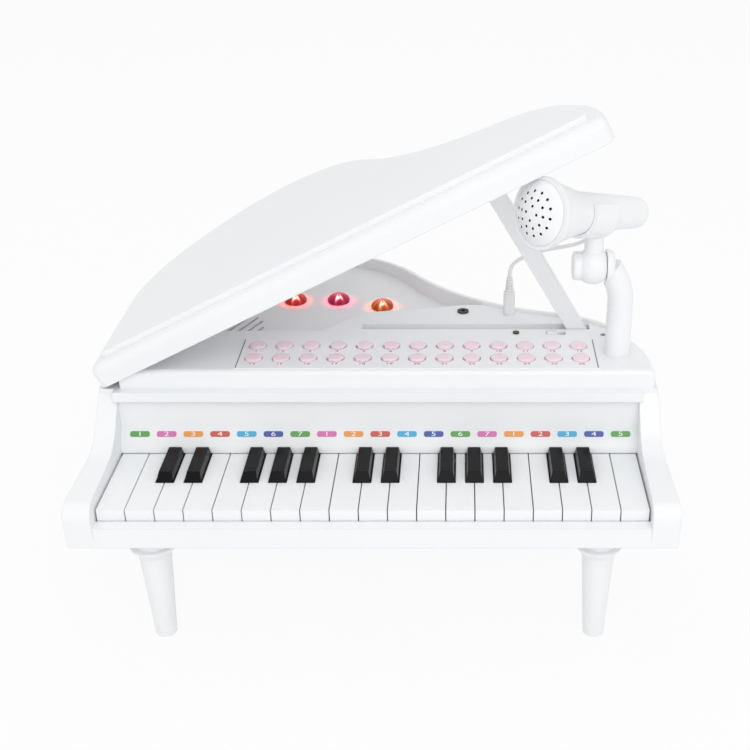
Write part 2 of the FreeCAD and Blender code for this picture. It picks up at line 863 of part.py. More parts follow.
def prop_groove(name, grow):
    """The slot in the deck that the prop folds into."""
    gap = size("prop_groove_gap") + grow
    half = size("prop_thickness") / 2 + gap
    return box(
        name,
        (
            size("prop_x") - prop_reach() - gap,
            y_at("prop_y") - half,
            z_at("prop_z") - size("prop_width") / 2 - gap,
        ),
        (
            size("prop_x") + size("prop_width") / 2 + gap,
            y_at("prop_y") + half,
            2 * z_at("deck_z"),
        ),
    )


def hinge_point():
    """Lid hinge pin in the side view across the piano."""
    offset = size("hinge_offset")
    return -HALF_LID + offset, z_at("ledge_z") + size("lid_gap") + offset


def hinge_places():
    return [y_at("hinge_front_y"), y_at("hinge_back_y")]


def hinge_knuckles():
    """Two eyes on the case that carry the lid's pins."""
    x, z = hinge_point()
    half = size("knuckle_width") / 2
    radius = size("knuckle_radius")
    pieces = []
    for number, y in enumerate(hinge_places()):
        pieces.append(
            cylinder(
                f"knuckle_{number}",
                "knuckle_radius",
                2 * half,
                Vector(x, y - half, z),
                Vector(0, 1, 0),
            )
        )
        pieces.append(
            box(
                f"knuckle_post_{number}",
                (x - radius, y - half, z_at("ledge_z") - radius),
                (x + radius, y + half, z),
            )
        )
    return pieces


def button_spots():
    """Centres of the buttons, column by column, front row first."""
    spots = []
    for column in range(13):
        for line in range(2):
            x = size("button_first_x") + column * size("button_pitch")
            y = y_at("button_front_y") + line * size("button_row_pitch")
            spots.append((column, x, y))
    return spots


def deck_holes():
    """Holes through the deck for the buttons, the switch, the lamp, the jacks and the stand."""
    holes = []
    room = size("button_radius") + size("button_gap")
    for column, x, y in button_spots():
        holes.append(Part.Circle(Vector(x, y, 0), Vector(0, 0, 1), room))
    holes.append(
        Part.Circle(Vector(size("led_x"), y_at("led_y"), 0), Vector(0, 0, 1), size("led_radius") + 0.1)
    )
    for name in ("aux", "plug"):
        spot = Vector(size(f"{name}_x"), y_at(f"{name}_y"), 0)
        holes.append(Part.Circle(spot, Vector(0, 0, 1), size("jack_radius") - 1 + 0.1))
    stand = Vector(size("stand_x"), y_at("stand_y"), 0)
    holes.append(Part.Circle(stand, Vector(0, 0, 1), size("stand_tube") + size("fit_gap")))
    gap = size("switch_gap")
    x0 = size("switch_x") - size("switch_length") / 2 - gap
    x1 = size("switch_x") + size("switch_length") / 2 + size("switch_travel") + gap
    half = size("switch_width") / 2 + gap
    y = y_at("switch_y")
    holes += polygon_lines([(x0, y - half), (x1, y - half), (x1, y + half), (x0, y + half)])
    depth = 2 * size("wall")
    outlines = loose_sketch("deck_hole_outlines", holes)
    return extrude("deck_holes", outlines, 2 * depth, z_at("deck_z") - depth)


def recess_angle():
    rise = size("recess_back_z") - size("recess_front_z")
    return math.degrees(math.atan2(rise, size("tail_reach") - size("recess_y")))


def recess_level(y):
    """Level of the sounding board at a depth behind the keys' front edge."""
    return z_at("recess_front_z") + (y - size("recess_y")) * math.tan(math.radians(recess_angle()))


def speaker_slits():
    """Slanted slits in a round field through the sounding board over the speaker."""
    lines = []
    tilt = math.radians(size("slit_angle"))
    along = Vector(math.cos(tilt), math.sin(tilt), 0)
    radius = size("slit_length") / 2
    half_width = size("slit_width") / 2
    reach = int(0.95 * radius / (size("slit_pitch") * along.y))
    for step in range(-reach, reach + 1):
        offset = step * size("slit_pitch")
        half_length = math.sqrt(radius**2 - (offset * along.y) ** 2)
        beside = Vector(along.y, -along.x, 0)
        centre = Vector(size("slit_x"), y_at("slit_y"), 0) + beside * offset * along.y
        side = beside * half_width
        end = along * half_length
        corners = [centre - end - side, centre + end - side, centre + end + side, centre - end + side]
        lines += polygon_lines([(c.x, c.y) for c in corners])
    return extrude(
        "speaker_slits",
        loose_sketch("slit_outlines", lines),
        8 * size("wall"),
        KEY_Z + size("recess_front_z") - 2 * size("wall"),
    )


def rim_curb():
    """Raised edge round the bent side and the tail."""
    low = z_at("deck_z") - size("deck_edge") - 0.5
    tall = z_at("rim_z") - low
    rings = []
    reach = 2 * HALF_WIDTH
    for name, grow in (("curb_outer", 0.0), ("curb_inner", size("recess_rim"))):
        line = bent_outline(size("rim_inset") + grow, y_at("deck_front_y"))
        block = extrude(name, loose_sketch(f"{name}_outline", line), tall, low)
        rings.append(cut(f"{name}_block", block, hinge_side(f"{name}_side", grow)))
    front = box("curb_front", (-reach, -reach, 0), (reach, y_at("recess_y"), 2 * z_at("rim_z")))
    rings.append(fuse("curb_clear", [rings.pop(), front]))
    return cut("rim_curb", rings[0], rings[1])


def boss_top(y):
    """Level at which a screw boss meets the deck or the sounding board."""
    if y < size("recess_y"):
        return z_at("deck_z") - size("wall") / 2
    return recess_level(y) - size("wall") / 2


def upper_case():
    """Deck, rim, fallboard, cheeks and key slip, moulded in one shell open below."""
    bottom = z_at("case_bottom_z")
    lower_line = bent_outline(size("case_inset"), y_at("deck_front_y"))
    lower = extrude(
        "case_sides", loose_sketch("case_outline", lower_line), z_at("ledge_z") - bottom, bottom
    )
    upper_line = bent_outline(size("rim_inset"), y_at("deck_front_y"))
    raised = extrude(
        "raised_deck",
        loose_sketch("deck_outline", upper_line),
        z_at("deck_z") - bottom,
        bottom,
    )
    doc.recompute()
    softened = doc.addObject("Part::Fillet", "deck_edge_round")
    softened.Base = raised
    edges = []
    for number, edge in enumerate(raised.Shape.Edges, start=1):
        if edge.BoundBox.ZMin > z_at("deck_z") - 0.01:
            edges.append((number, size("deck_edge"), size("deck_edge")))
    softened.Edges = edges
    slip = across(
        "key_slip",
        [
            (size("slip_front_y"), size("case_bottom_z")),
            (size("slip_front_y"), size("slip_top_z")),
            (0 - size("slip_gap"), size("slip_top_z")),
            (0 - size("slip_gap"), size("case_bottom_z")),
        ],
        HALF_BAY + size("wall"),
    )
    shell = fuse("case_blank", [lower, softened, cheeks("cheeks", 0.0), slip])
    hollow = fuse("case_hollow", case_hollow())
    open_shell = cut("open_shell", shell, hollow)
    side = hinge_side("hinge_strip", 0.0)
    trimmed = cut("trimmed_shell", open_shell, side)
    bosses = [
        cylinder(
            f"screw_boss_{i}",
            "screw_boss",
            boss_top(y) - bottom - size("cover_wall") - size("fit_gap"),
            Vector(x, KEY_Y + y, bottom + size("cover_wall") + size("fit_gap")),
        )
        for i, (x, y) in enumerate(screw_spots())
    ]
    dressed = fuse("dressed_case", [trimmed, fallboard(), rim_curb()] + hinge_knuckles() + bosses)
    x, z = hinge_point()
    bores = [
        cylinder(
            f"knuckle_bore_{i}",
            "hinge_pin_radius + hinge_clearance",
            2 * size("knuckle_width"),
            Vector(x, y - size("knuckle_width"), z),
            Vector(0, 1, 0),
        )
        for i, y in enumerate(hinge_places())
    ]
    pilots = [
        cylinder(
            f"screw_pilot_{i}",
            "screw_radius + 0.05",
            size("screw_length"),
            Vector(x, KEY_Y + y, bottom),
        )
        for i, (x, y) in enumerate(screw_spots())
    ]
    half = size("prop_thickness") / 2 + size("prop_groove_gap") + size("wall") + 1
    trunnion = cylinder(
        "prop_bore",
        "prop_pin_radius + 0.1",
        2 * half,
        Vector(size("prop_x"), y_at("prop_y") - half, z_at("prop_z")),
        Vector(0, 1, 0),
    )
    holes = [deck_holes(), speaker_slits(), prop_groove("prop_slot", 0.0), trunnion] + bores + pilots
    keep("upper_case", cut("upper_case", dressed, fuse("case_openings", holes)))


# Lid


def lid_body():
    """The lid as a hollow cap with a raised panel, drawn closed."""
    body = doc.addObject("PartDesign::Body", "lid_cap")
    closed = "key_height + ledge_z + lid_gap"
    front = y_at("lid_front_y")
    outline = plane_sketch(body, "XY_Plane", "lid_outline", closed)
    for piece in bent_outline(0.0, front, size("lid_corner")):
        outline.addGeometry(piece)
    slab = feature(body, "Pad", "lid_slab", outline, "lid_skirt")
    doc.recompute()
    top = z_at("ledge_z") + size("lid_gap") + size("lid_skirt")
    rounding = body.newObject("PartDesign::Fillet", "lid_shoulders")
    edges = []
    for number, edge in enumerate(slab.Shape.Edges, start=1):
        if edge.BoundBox.ZMin > top - 0.01:
            edges.append(f"Edge{number}")
    rounding.Base = (slab, edges)
    rounding.setExpression("Radius", cells("lid_shoulder"))
    doc.recompute()
    inset = size("panel_inset")
    panel = plane_sketch(body, "XY_Plane", "panel_outline", f"{closed} + lid_skirt - lid_roof")
    for piece in bent_outline(inset, front + inset, size("lid_corner")):
        panel.addGeometry(piece)
    raised = feature(body, "Pad", "raised_panel", panel, "panel_rise + lid_roof")
    doc.recompute()
    crest = top + size("panel_rise")
    edges = []
    for number, edge in enumerate(raised.Shape.Edges, start=1):
        if edge.BoundBox.ZMin > crest - 0.01:
            edges.append(f"Edge{number}")
    soft = body.newObject("PartDesign::Fillet", "panel_edges")
    soft.Base = (raised, edges)
    soft.setExpression("Radius", cells("panel_edge"))
    doc.recompute()
    hollow = plane_sketch(body, "XY_Plane", "lid_hollow_outline", closed)
    wall = size("lid_wall")
    for piece in bent_outline(wall, front + wall, size("lid_corner") - wall):
        hollow.addGeometry(piece)
    feature(body, "Pocket", "lid_hollow", hollow, "lid_skirt - lid_roof", reverse=True)
    doc.recompute()
    return body


def lid():
    """The lid with its hinge barrels, opened on its prop."""
    cap = lid_body()
    x, z = hinge_point()
    gap = size("knuckle_gap")
    half = size("knuckle_width") / 2 + gap
    reach = half + size("barrel_length")
    barrels = []
    notches = []
    for number, y in enumerate(hinge_places()):
        barrels.append(
            cylinder(
                f"barrel_{number}",
                "hinge_offset - 0.2",
                2 * reach,
                Vector(x, y - reach, z),
                Vector(0, 1, 0),
            )
        )
        tall = size("knuckle_radius") + 1.5
        notches.append(
            box(
                f"knuckle_notch_{number}",
                (x - 2 * size("hinge_offset"), y - half, z - 2 * size("hinge_offset")),
                (x + 2 * size("hinge_offset"), y + half, z + tall),
            )
        )
        notches.append(
            cylinder(
                f"barrel_bore_{number}",
                "hinge_pin_radius + 0.02",
                2 * reach,
                Vector(x, y - reach, z),
                Vector(0, 1, 0),
            )
        )
    solid = fuse("lid_solid", [cap] + barrels)
    finished = cut("lid", solid, fuse("lid_openings", notches))
    swing = Rotation(Vector(0, 1, 0), -size("lid_open"))
    finished.Placement = Placement(Vector(), swing, Vector(x, 0, z))
    keep("lid", finished)
    pins = [
        cylinder(f"pin_{i}", "hinge_pin_radius", 2 * reach, Vector(x, y - reach, z), Vector(0, 1, 0))
        for i, y in enumerate(hinge_places())
    ]
    group = doc.addObject("Part::Compound", "lid_hinge_pins")
    group.Links = pins
    keep("lid_hinge_pins", group)


def lid_prop():
    """A flat bar with a rounded foot on trunnions, leaning up to the lid."""
    body = doc.addObject("PartDesign::Body", "prop_bar")
    sketch = plane_sketch(body, "XZ_Plane", "prop_outline")
    half = size("prop_width") / 2
    long = prop_reach()
    steps = [long - 2 * half, (half, 180.0), long - 2 * half, (half, 180.0)]
    pieces, end = tangent_path((0, -half), 0, steps)
    for piece in pieces:
        sketch.addGeometry(piece)
    feature(body, "Pad", "prop_blade", sketch, "prop_thickness", midplane=True)
    sketch = plane_sketch(body, "XZ_Plane", "trunnion_outline")
    bound_circle(sketch, "0", "0", "prop_pin_radius")
    feature(
        body, "Pad", "prop_trunnions", sketch, "prop_thickness + 2 * prop_pin_length", midplane=True
    )
    doc.recompute()
    lean = Rotation(Vector(0, 1, 0), -180 + size("prop_lean"))
    body.Placement = Placement(Vector(size("prop_x"), y_at("prop_y"), z_at("prop_z")), lean)
    keep("lid_prop", body)


# Deck fittings


def cap_outline(style, x, y):
    """Plan of one button cap."""
    radius = size("button_radius")
    if style == "round":
        return [Part.Circle(Vector(x, y, 0), Vector(0, 0, 1), radius)]
    if style == "octagon":
        points = []
        for corner in range(8):
            angle = math.radians(22.5 + 45 * corner)
            points.append((x + radius * math.cos(angle), y + radius * math.sin(angle)))
        return polygon_lines(points)
    petals = 8
    valley = 0.86 * radius
    arcs = []
    for petal in range(petals):
        spots = []
        for part, reach in ((0.0, valley), (0.5, radius), (1.0, valley)):
            angle = 2 * math.pi * (petal + part) / petals
            spots.append(Vector(x + reach * math.cos(angle), y + reach * math.sin(angle), 0))
        arcs.append(Part.Arc(*spots))
    return arcs


def button_strips():
    """Four strips of caps, each on a common flange under the deck."""
    deck = z_at("deck_z")
    flange_top = deck - size("wall") - 0.3
    for label, (first, count, style) in BUTTON_GROUPS.items():
        spots = [spot for spot in button_spots() if first <= spot[0] < first + count]
        reach = size("button_radius") + 1.5
        low = (min(s[1] for s in spots) - reach, min(s[2] for s in spots) - reach)
        high = (max(s[1] for s in spots) + reach, max(s[2] for s in spots) + reach)
        flange = box(
            f"{label}_flange",
            (low[0], low[1], flange_top - size("button_flange")),
            (high[0], high[1], flange_top),
        )
        outlines = []
        for column, x, y in spots:
            outlines += cap_outline(style, x, y)
        tall = deck + size("label_thickness") + size("button_rise") - flange_top
        caps = extrude(f"{label}_caps", loose_sketch(f"{label}_outlines", outlines), tall, flange_top)
        keep(label, fuse(label, [flange, caps]))


def button_label():
    """Printed film round the buttons."""
    lines = polygon_lines(
        [
            (size("label_left_x"), y_at("label_front_y")),
            (size("label_right_x"), y_at("label_front_y")),
            (size("label_right_x"), y_at("label_back_y")),
            (size("label_left_x"), y_at("label_back_y")),
        ]
    )
    room = size("button_radius") + size("button_gap")
    for column, x, y in button_spots():
        lines.append(Part.Circle(Vector(x, y, 0), Vector(0, 0, 1), room))
    sheet_item = extrude(
        "button_label", loose_sketch("label_outline", lines), size("label_thickness"), z_at("deck_z")
    )
    keep("button_label", sheet_item)


def power_switch():
    """Ribbed slider with a keeper plate under the deck."""
    deck = z_at("deck_z")
    x, y = size("switch_x"), y_at("switch_y")
    long, half = size("switch_length"), size("switch_width") / 2
    under = deck - size("wall") - 0.3
    top = deck + size("switch_rise")
    stem = box("switch_stem", (x - long / 2, y - half, under), (x + long / 2, y + half, top))
    lip = 1.5
    keeper = box(
        "switch_keeper", (x - long, y - half - lip, under - lip), (x + long, y + half + lip, under)
    )
    grooves = []
    pitch = long / 5
    for step in range(4):
        middle = x - long / 2 + (step + 1) * pitch
        grooves.append(
            box(
                f"switch_groove_{step}",
                (middle - pitch / 4, y - 2 * half, deck + size("switch_rise") - 1),
                (middle + pitch / 4, y + 2 * half, deck + 2 * size("switch_rise")),
            )
        )
    solid = fuse("switch_blank", [stem, keeper])
    keep("power_switch_knob", cut("power_switch_knob", solid, fuse("switch_grooves", grooves)))


def tilted(x, y, lift=0.0):
    """Placement on the sloping sounding board."""
    turn = Rotation(Vector(1, 0, 0), recess_angle())
    return Placement(Vector(x, KEY_Y + y, recess_level(y)) + turn.multVec(Vector(0, 0, lift)), turn)


def lamps():
    """Faceted lenses on the sounding board, with a light behind each and one in the deck."""
    lenses = []
    lights = []
    for number, (x, y) in enumerate(moved_back(LAMP_SPOTS)):
        sections = []
        table = size("lens_table")
        widths = [
            (size("lens_radius"), 0.0),
            (size("lens_radius"), size("lens_girdle")),
            (table, size("lens_height")),
        ]
        for level, (radius, height) in enumerate(widths):
            ring = doc.addObject("Part::RegularPolygon", f"lens_{number}_ring_{level}")
            ring.Polygon = int(size("lens_sides"))
            ring.Circumradius = radius
            ring.Placement.Base = Vector(0, 0, height)
            sections.append(ring)
        lens = doc.addObject("Part::Loft", f"lens_{number}_facets")
        lens.Sections = sections
        lens.Solid = True
        lens.Ruled = True
        pocket = cylinder(f"lens_{number}_pocket", "led_radius + 0.3", size("lens_girdle"), Vector())
        shaped = cut(f"lens_{number}", lens, pocket)
        shaped.Placement = tilted(x, y, 0.1)
        lenses.append(shaped)
        light = cylinder(f"light_{number}", "led_radius", size("lens_girdle") - 0.4, Vector())
        light.Placement = tilted(x, y, 0.1)
        lights.append(light)
    group = doc.addObject("Part::Compound", "lamp_lenses")
    group.Links = lenses
    keep("lamp_lenses", group)
    power = cylinder(
        "light_power",
        "led_radius",
        size("wall") + 4,
        Vector(size("led_x"), y_at("led_y"), z_at("deck_z") - size("wall") - 3),
    )
    group = doc.addObject("Part::Compound", "lights")
    group.Links = lights + [power]
    keep("lights", group)


def jacks():
    """Two round jack sockets through the deck."""
    sockets = []
    deck = z_at("deck_z")
    for name in ("aux", "plug"):
        spot = Vector(size(f"{name}_x"), y_at(f"{name}_y"), 0)
        nut = cylinder(f"{name}_nut", "jack_radius", size("jack_rise"), spot + Vector(0, 0, deck))
        depth = size("jack_depth")
        low = spot + Vector(0, 0, deck - depth)
        barrel = cylinder(f"{name}_barrel", "jack_radius - 1", depth, low)
        bore = cylinder(f"{name}_bore", "jack_bore", 2 * depth, low)
        sockets.append(cut(f"{name}_socket", fuse(f"{name}_shell", [nut, barrel]), bore))
    group = doc.addObject("Part::Compound", "jack_sockets")
    group.Links = sockets
    keep("jack_sockets", group)


# Microphone


def hub_centre():
    """Middle of the stand's tilting hub."""
    bend = size("stand_bend")
    turn = math.radians(size("stand_turn"))
    x = size("stand_x") - bend * (1 - math.cos(turn))
    z = z_at("deck_z") + size("stand_straight") + bend * math.sin(turn)
    over = size("hub_half") + size("hub_gap") + size("stand_cheek") / 2
    return Vector(x - over, y_at("stand_y"), z + 2)


def mic_frame():
    """Placement with +Z along the microphone, towards its grille, over the hub."""
    turn = math.radians(size("mic_turn"))
    lift = math.radians(size("mic_raise"))
    ahead = Vector(-math.cos(turn) * math.cos(lift), -math.sin(turn) * math.cos(lift), math.sin(lift))
    base = hub_centre() + Vector(0, 0, size("mic_height"))
    side = Vector(0, 0, 1).cross(ahead)
    side.normalize()
    up = ahead.cross(side)
    return Placement(base, Rotation(side, up, ahead, "ZXY"))


def revolve_body(label, profile, placement):
    """A turned piece: a half profile of radius and length, turned about +Z."""
    body = doc.addObject("PartDesign::Body", label)
    sketch = plane_sketch(body, "XZ_Plane", f"{label}_profile")
    for piece in profile:
        sketch.addGeometry(piece)
    turned = body.newObject("PartDesign::Revolution", f"{label}_turned")
    turned.Profile = sketch
    turned.ReferenceAxis = (sketch, ["V_Axis"])
    turned.Angle = 360
    doc.recompute()
    body.Placement = placement
    return body


def lines_through(points):
    spots = [Vector(x, y, 0) for x, y in points]
    return [Part.LineSegment(a, b) for a, b in zip(spots, spots[1:])]


def rounded_corner(radius, level, round_over, way):
    """Quarter round at a turned piece's outer edge, on the end that faces up or down."""
    share = round_over * (1 - math.sqrt(0.5))
    return Part.Arc(
        Vector(radius - round_over, level, 0),
        Vector(radius - share, level - way * share, 0),
        Vector(radius, level - way * round_over, 0),
    )


def microphone():
    """Perforated dome, tapering handle and the clip that holds it."""
    frame = mic_frame()
    rim_z = size("mic_rim_place")
    dome = size("mic_grille")
    rim = size("mic_rim")
    width = size("mic_rim_width")
    tall = size("mic_dome")
    ball = (dome * dome + tall * tall) / (2 * tall)
    half_way = math.atan2(dome, ball - tall) / 2
    middle = rim_z + tall - ball
    profile = [
        Part.Arc(
            Vector(dome, rim_z, 0),
            Vector(ball * math.sin(half_way), middle + ball * math.cos(half_way), 0),
            Vector(0, rim_z + tall, 0),
        )
    ]
    profile += lines_through([(0, rim_z + tall), (0, rim_z), (dome, rim_z)])
    keep("mic_grille", cut("mic_grille", revolve_body("grille_dome", profile, frame), grille_holes(frame)))
    front = size("handle_front")
    tail = size("handle_tail")
    end = size("handle_end")
    cone_z = rim_z - width - size("mic_cone")
    tail_z = cone_z - size("handle_length")
    corner = math.sqrt(0.5) * end
    profile = lines_through(
        [
            (0, tail_z),
            (0, rim_z),
            (rim, rim_z),
            (rim, rim_z - width),
            (rim - 1.5, rim_z - width),
            (front, cone_z),
            (tail, tail_z + end),
        ]
    )
    profile.append(
        Part.Arc(
            Vector(tail, tail_z + end, 0),
            Vector(tail - end + corner, tail_z + end - corner, 0),
            Vector(tail - end, tail_z, 0),
        )
    )
    profile += lines_through([(tail - end, tail_z), (0, tail_z)])
    keep("mic_handle", revolve_body("mic_handle", profile, frame))
    mic_clip(frame, cone_z)


def grille_holes(frame):
    """Blind holes in rings round the grille, all along the microphone."""
    ahead = frame.Rotation.multVec(Vector(0, 0, 1))
    floor = size("mic_rim_place") + size("grille_floor")
    holes = []
    for count, share in GRILLE_RINGS:
        for step in range(count):
            turn = 2 * math.pi * step / count
            ring = share * size("mic_grille")
            spot = frame.multVec(Vector(ring * math.cos(turn), ring * math.sin(turn), floor))
            name = f"grille_hole_{count}_{step}"
            holes.append(cylinder(name, "grille_hole", size("mic_dome"), spot, ahead))
    group = doc.addObject("Part::Compound", "grille_holes")
    group.Links = holes
    return group


def mic_clip(frame, cone_z):
    """A split ring round the handle, on a neck from the tilting hub."""
    hub = hub_centre()
    half = size("hub_half")
    ball = size("hub_radius")
    disc = size("hub_disc")
    edge = size("hub_disc_edge")
    inner = size("hub_pin") + size("hub_pin_clearance")
    shoulder = math.sqrt(ball * ball - half * half)
    profile = lines_through(
        [
            (inner, half),
            (inner, -half - size("hub_disc_width")),
            (disc - edge, -half - size("hub_disc_width")),
        ]
    )
    profile.append(rounded_corner(disc, -half - size("hub_disc_width"), edge, -1))
    profile += lines_through(
        [(disc, -half - size("hub_disc_width") + edge), (disc, -half), (shoulder, -half)]
    )
    profile.append(Part.Arc(Vector(shoulder, -half, 0), Vector(ball, 0, 0), Vector(shoulder, half, 0)))
    profile += lines_through([(shoulder, half), (inner, half)])
    along_x = Rotation(Vector(0, 0, 1), Vector(1, 0, 0))
    ball_body = revolve_body("clip_hub", profile, Placement(hub, along_x))
    length = size("clip_length")
    taper = (size("handle_front") - size("handle_tail")) / (size("handle_length") - size("handle_end"))
    place = size("clip_place")
    bore = size("handle_front") + size("fit_gap") - taper * max(0.0, cone_z - place - length / 2)
    outer = bore + size("clip_wall")
    gap = math.radians(360 - size("clip_wrap")) / 2
    arcs = []
    spots = []
    for radius in (outer, bore):
        angles = (gap, math.pi, 2 * math.pi - gap)
        spots.append([Vector(radius * math.cos(a), radius * math.sin(a), 0) for a in angles])
    arcs.append(Part.Arc(*spots[0]))
    arcs.append(Part.LineSegment(spots[0][2], spots[1][2]))
    arcs.append(Part.Arc(*spots[1]))
    arcs.append(Part.LineSegment(spots[1][0], spots[0][0]))
    ring_sketch = loose_sketch("clip_ring_outline", arcs)
    ring = extrude("clip_ring", ring_sketch, length, place - length / 2)
    open_up = Rotation(Vector(0, 0, 1), 90)
    ring_sketch.Placement = Placement(frame.Base, frame.Rotation * open_up)
    neck_height = size("mic_height") - bore - size("clip_wall") / 2
    neck = cylinder("clip_neck", "neck_radius", neck_height, hub)
    pin_hole = cylinder(
        "clip_pin_hole",
        "hub_pin + hub_pin_clearance",
        4 * ball,
        hub - Vector(2 * ball, 0, 0),
        Vector(1, 0, 0),
    )
    solid = fuse("clip_blank", [ball_body, neck, ring])
    keep("mic_clip", cut("mic_clip", solid, pin_hole))


def mic_stand():
    """Bent tube from the deck to the hub, with the hub's pin and cheek on its end."""
    deck = z_at("deck_z")
    x, y = size("stand_x"), y_at("stand_y")
    bend = size("stand_bend")
    turn = math.radians(size("stand_turn"))
    start = Vector(x, y, deck - size("wall"))
    knee = Vector(x, y, deck + size("stand_straight"))
    spots = []
    for part in (0.5, 1.0):
        a = turn * part
        spots.append(knee + Vector(-bend * (1 - math.cos(a)), 0, bend * math.sin(a)))
    path = Part.Wire([Part.LineSegment(start, knee).toShape(), Part.Arc(knee, *spots).toShape()])
    circle = Part.Circle(start, Vector(0, 0, 1), size("stand_tube"))
    tube = doc.addObject("Part::Feature", "stand_tube_sweep")
    tube.Shape = path.makePipeShell([Part.Wire(circle.toShape())], True, False)
    foot = cylinder("stand_foot_disc", "stand_foot", size("stand_foot_height"), Vector(x, y, deck))
    hub = hub_centre()
    near = hub.x + size("hub_half") + size("hub_gap")
    rim = size("hub_radius") - size("cheek_step")
    width = size("stand_cheek")
    soft = size("cheek_round")
    profile = lines_through([(rim - soft, width), (0, width), (0, 0), (rim, 0), (rim, width - soft)])
    profile.append(rounded_corner(rim, width, soft, 1))
    along_x = Rotation(Vector(0, 0, 1), Vector(1, 0, 0))
    cheek = revolve_body("stand_cheek_disc", profile, Placement(Vector(near, y, hub.z), along_x))
    pin = cylinder(
        "stand_pin",
        "hub_pin",
        2 * size("hub_half") + size("hub_disc_width") + size("hub_gap") + 1,
        Vector(hub.x - size("hub_half") - size("hub_disc_width"), y, hub.z),
        Vector(1, 0, 0),
    )
    room = 6 * size("hub_half")
    ball_room = cylinder(
        "ball_room", "hub_radius + 0.6", room, Vector(near - room, y, hub.z), Vector(1, 0, 0)
    )
    arm = cut("stand_arm", tube, ball_room)
    keep("mic_stand", fuse("mic_stand", [arm, foot, cheek, pin]))


def plug_top():
    """Where the cord leaves the plug's strain relief."""
    up = size("jack_rise") + size("plug_length") + size("relief_length")
    return Vector(size("plug_x"), y_at("plug_y"), z_at("deck_z") + up)


def mic_plug():
    """Jack plug standing in its socket, with a tapered strain relief."""
    spot = Vector(size("plug_x"), y_at("plug_y"), z_at("deck_z") + size("jack_rise"))
    body_top = size("plug_length")
    top = body_top + size("relief_length")
    pin = size("plug_pin_radius")
    cord = size("cord_diameter") / 2
    depth = size("jack_rise") + size("jack_depth") - 1
    profile = lines_through(
        [
            (0, -depth),
            (pin, -depth),
            (pin, 0),
            (size("plug_radius"), 0),
            (size("plug_radius"), body_top),
            (size("relief_radius"), body_top + 1),
            (cord + 0.4, top),
            (0, top),
            (0, -depth),
        ]
    )
    keep("mic_plug", revolve_body("mic_plug", profile, Placement(spot, Rotation())))


def rounded_route(points):
    """Straight runs joined by tangent arcs as large as the runs allow."""
    edges = []
    radii = []
    start = points[0]
    for before, corner, after in zip(points, points[1:], points[2:]):
        come = (corner - before).normalize()
        leave = (after - corner).normalize()
        turn = come.getAngle(leave)
        trim = 0.45 * min((corner - before).Length, (after - corner).Length)
        radius = trim / math.tan(turn / 2)
        into = corner - come * trim
        out = corner + leave * trim
        middle = corner + (leave - come).normalize() * (radius / math.cos(turn / 2) - radius)
        edges.append(Part.LineSegment(start, into).toShape())
        edges.append(Part.Arc(into, middle, out).toShape())
        radii.append(radius)
        start = out
    edges.append(Part.LineSegment(start, points[-1]).toShape())
    return Part.Wire(edges), radii


def cord_entry():
    """Last two points of the cord: a lead-in and the spot behind the handle that it enters."""
    frame = mic_frame()
    tail_z = size("mic_rim_place") - size("mic_rim_width") - size("mic_cone") - size("handle_length")
    place = tail_z + 1.9 * size("handle_end")
    taper = (size("handle_front") - size("handle_tail")) / (size("handle_length") - size("handle_end"))
    radius = size("handle_tail") + 0.9 * size("handle_end") * taper + 0.3
    away = frame.Rotation.multVec(Vector(-0.8, -0.6, 0))
    spot = frame.multVec(Vector(0, 0, place)) + away * radius
    return [spot + away * 14, spot]


def mic_cord():
    """Thin cord from the plug, behind the stand, to the microphone's tail."""
    start = plug_top()
    points = [start + Vector(*offset) for offset in CORD_ROUTE]
    points += cord_entry()
    path, radii = rounded_route(points)
    circle = Part.Circle(start, points[1] - start, size("cord_diameter") / 2)
    tube = doc.addObject("Part::Feature", "mic_cord")
    tube.Shape = path.makePipeShell([Part.Wire(circle.toShape())], True, False)
    section = math.pi * (size("cord_diameter") / 2) ** 2
    print("cord length", round(path.Length, 1), "bend radii", [round(r, 1) for r in radii])
    print("cord volume over section times length", round(tube.Shape.Volume / section / path.Length, 4))
    keep("mic_cord", tube)


# Underside and legs


def leg_spots():
    rear = moved_back([(size("leg_rear_x"), y_at("leg_rear_y"))])
    return {
        "leg_front_left": (-size("leg_x"), y_at("leg_front_y")),
        "leg_front_right": (size("leg_x"), y_at("leg_front_y")),
        "leg_rear": rear[0],
    }


def legs():
    """Turned legs with a flared collar and a spigot into the underside."""
    top = z_at("case_bottom_z") - size("leg_boss_height")
    flare = size("leg_flare_height")
    for label, (x, y) in leg_spots().items():
        profile = lines_through(
            [
                (0, 0),
                (size("leg_foot_radius"), 0),
                (size("leg_top_radius"), top - flare),
                (size("leg_flare"), top - 2),
                (size("leg_flare"), top),
                (size("leg_spigot"), top),
                (size("leg_spigot"), top + size("leg_spigot_length")),
                (0, top + size("leg_spigot_length")),
                (0, 0),
            ]
        )
        keep(label, revolve_body(label, profile, Placement(Vector(x, y, 0), Rotation())))


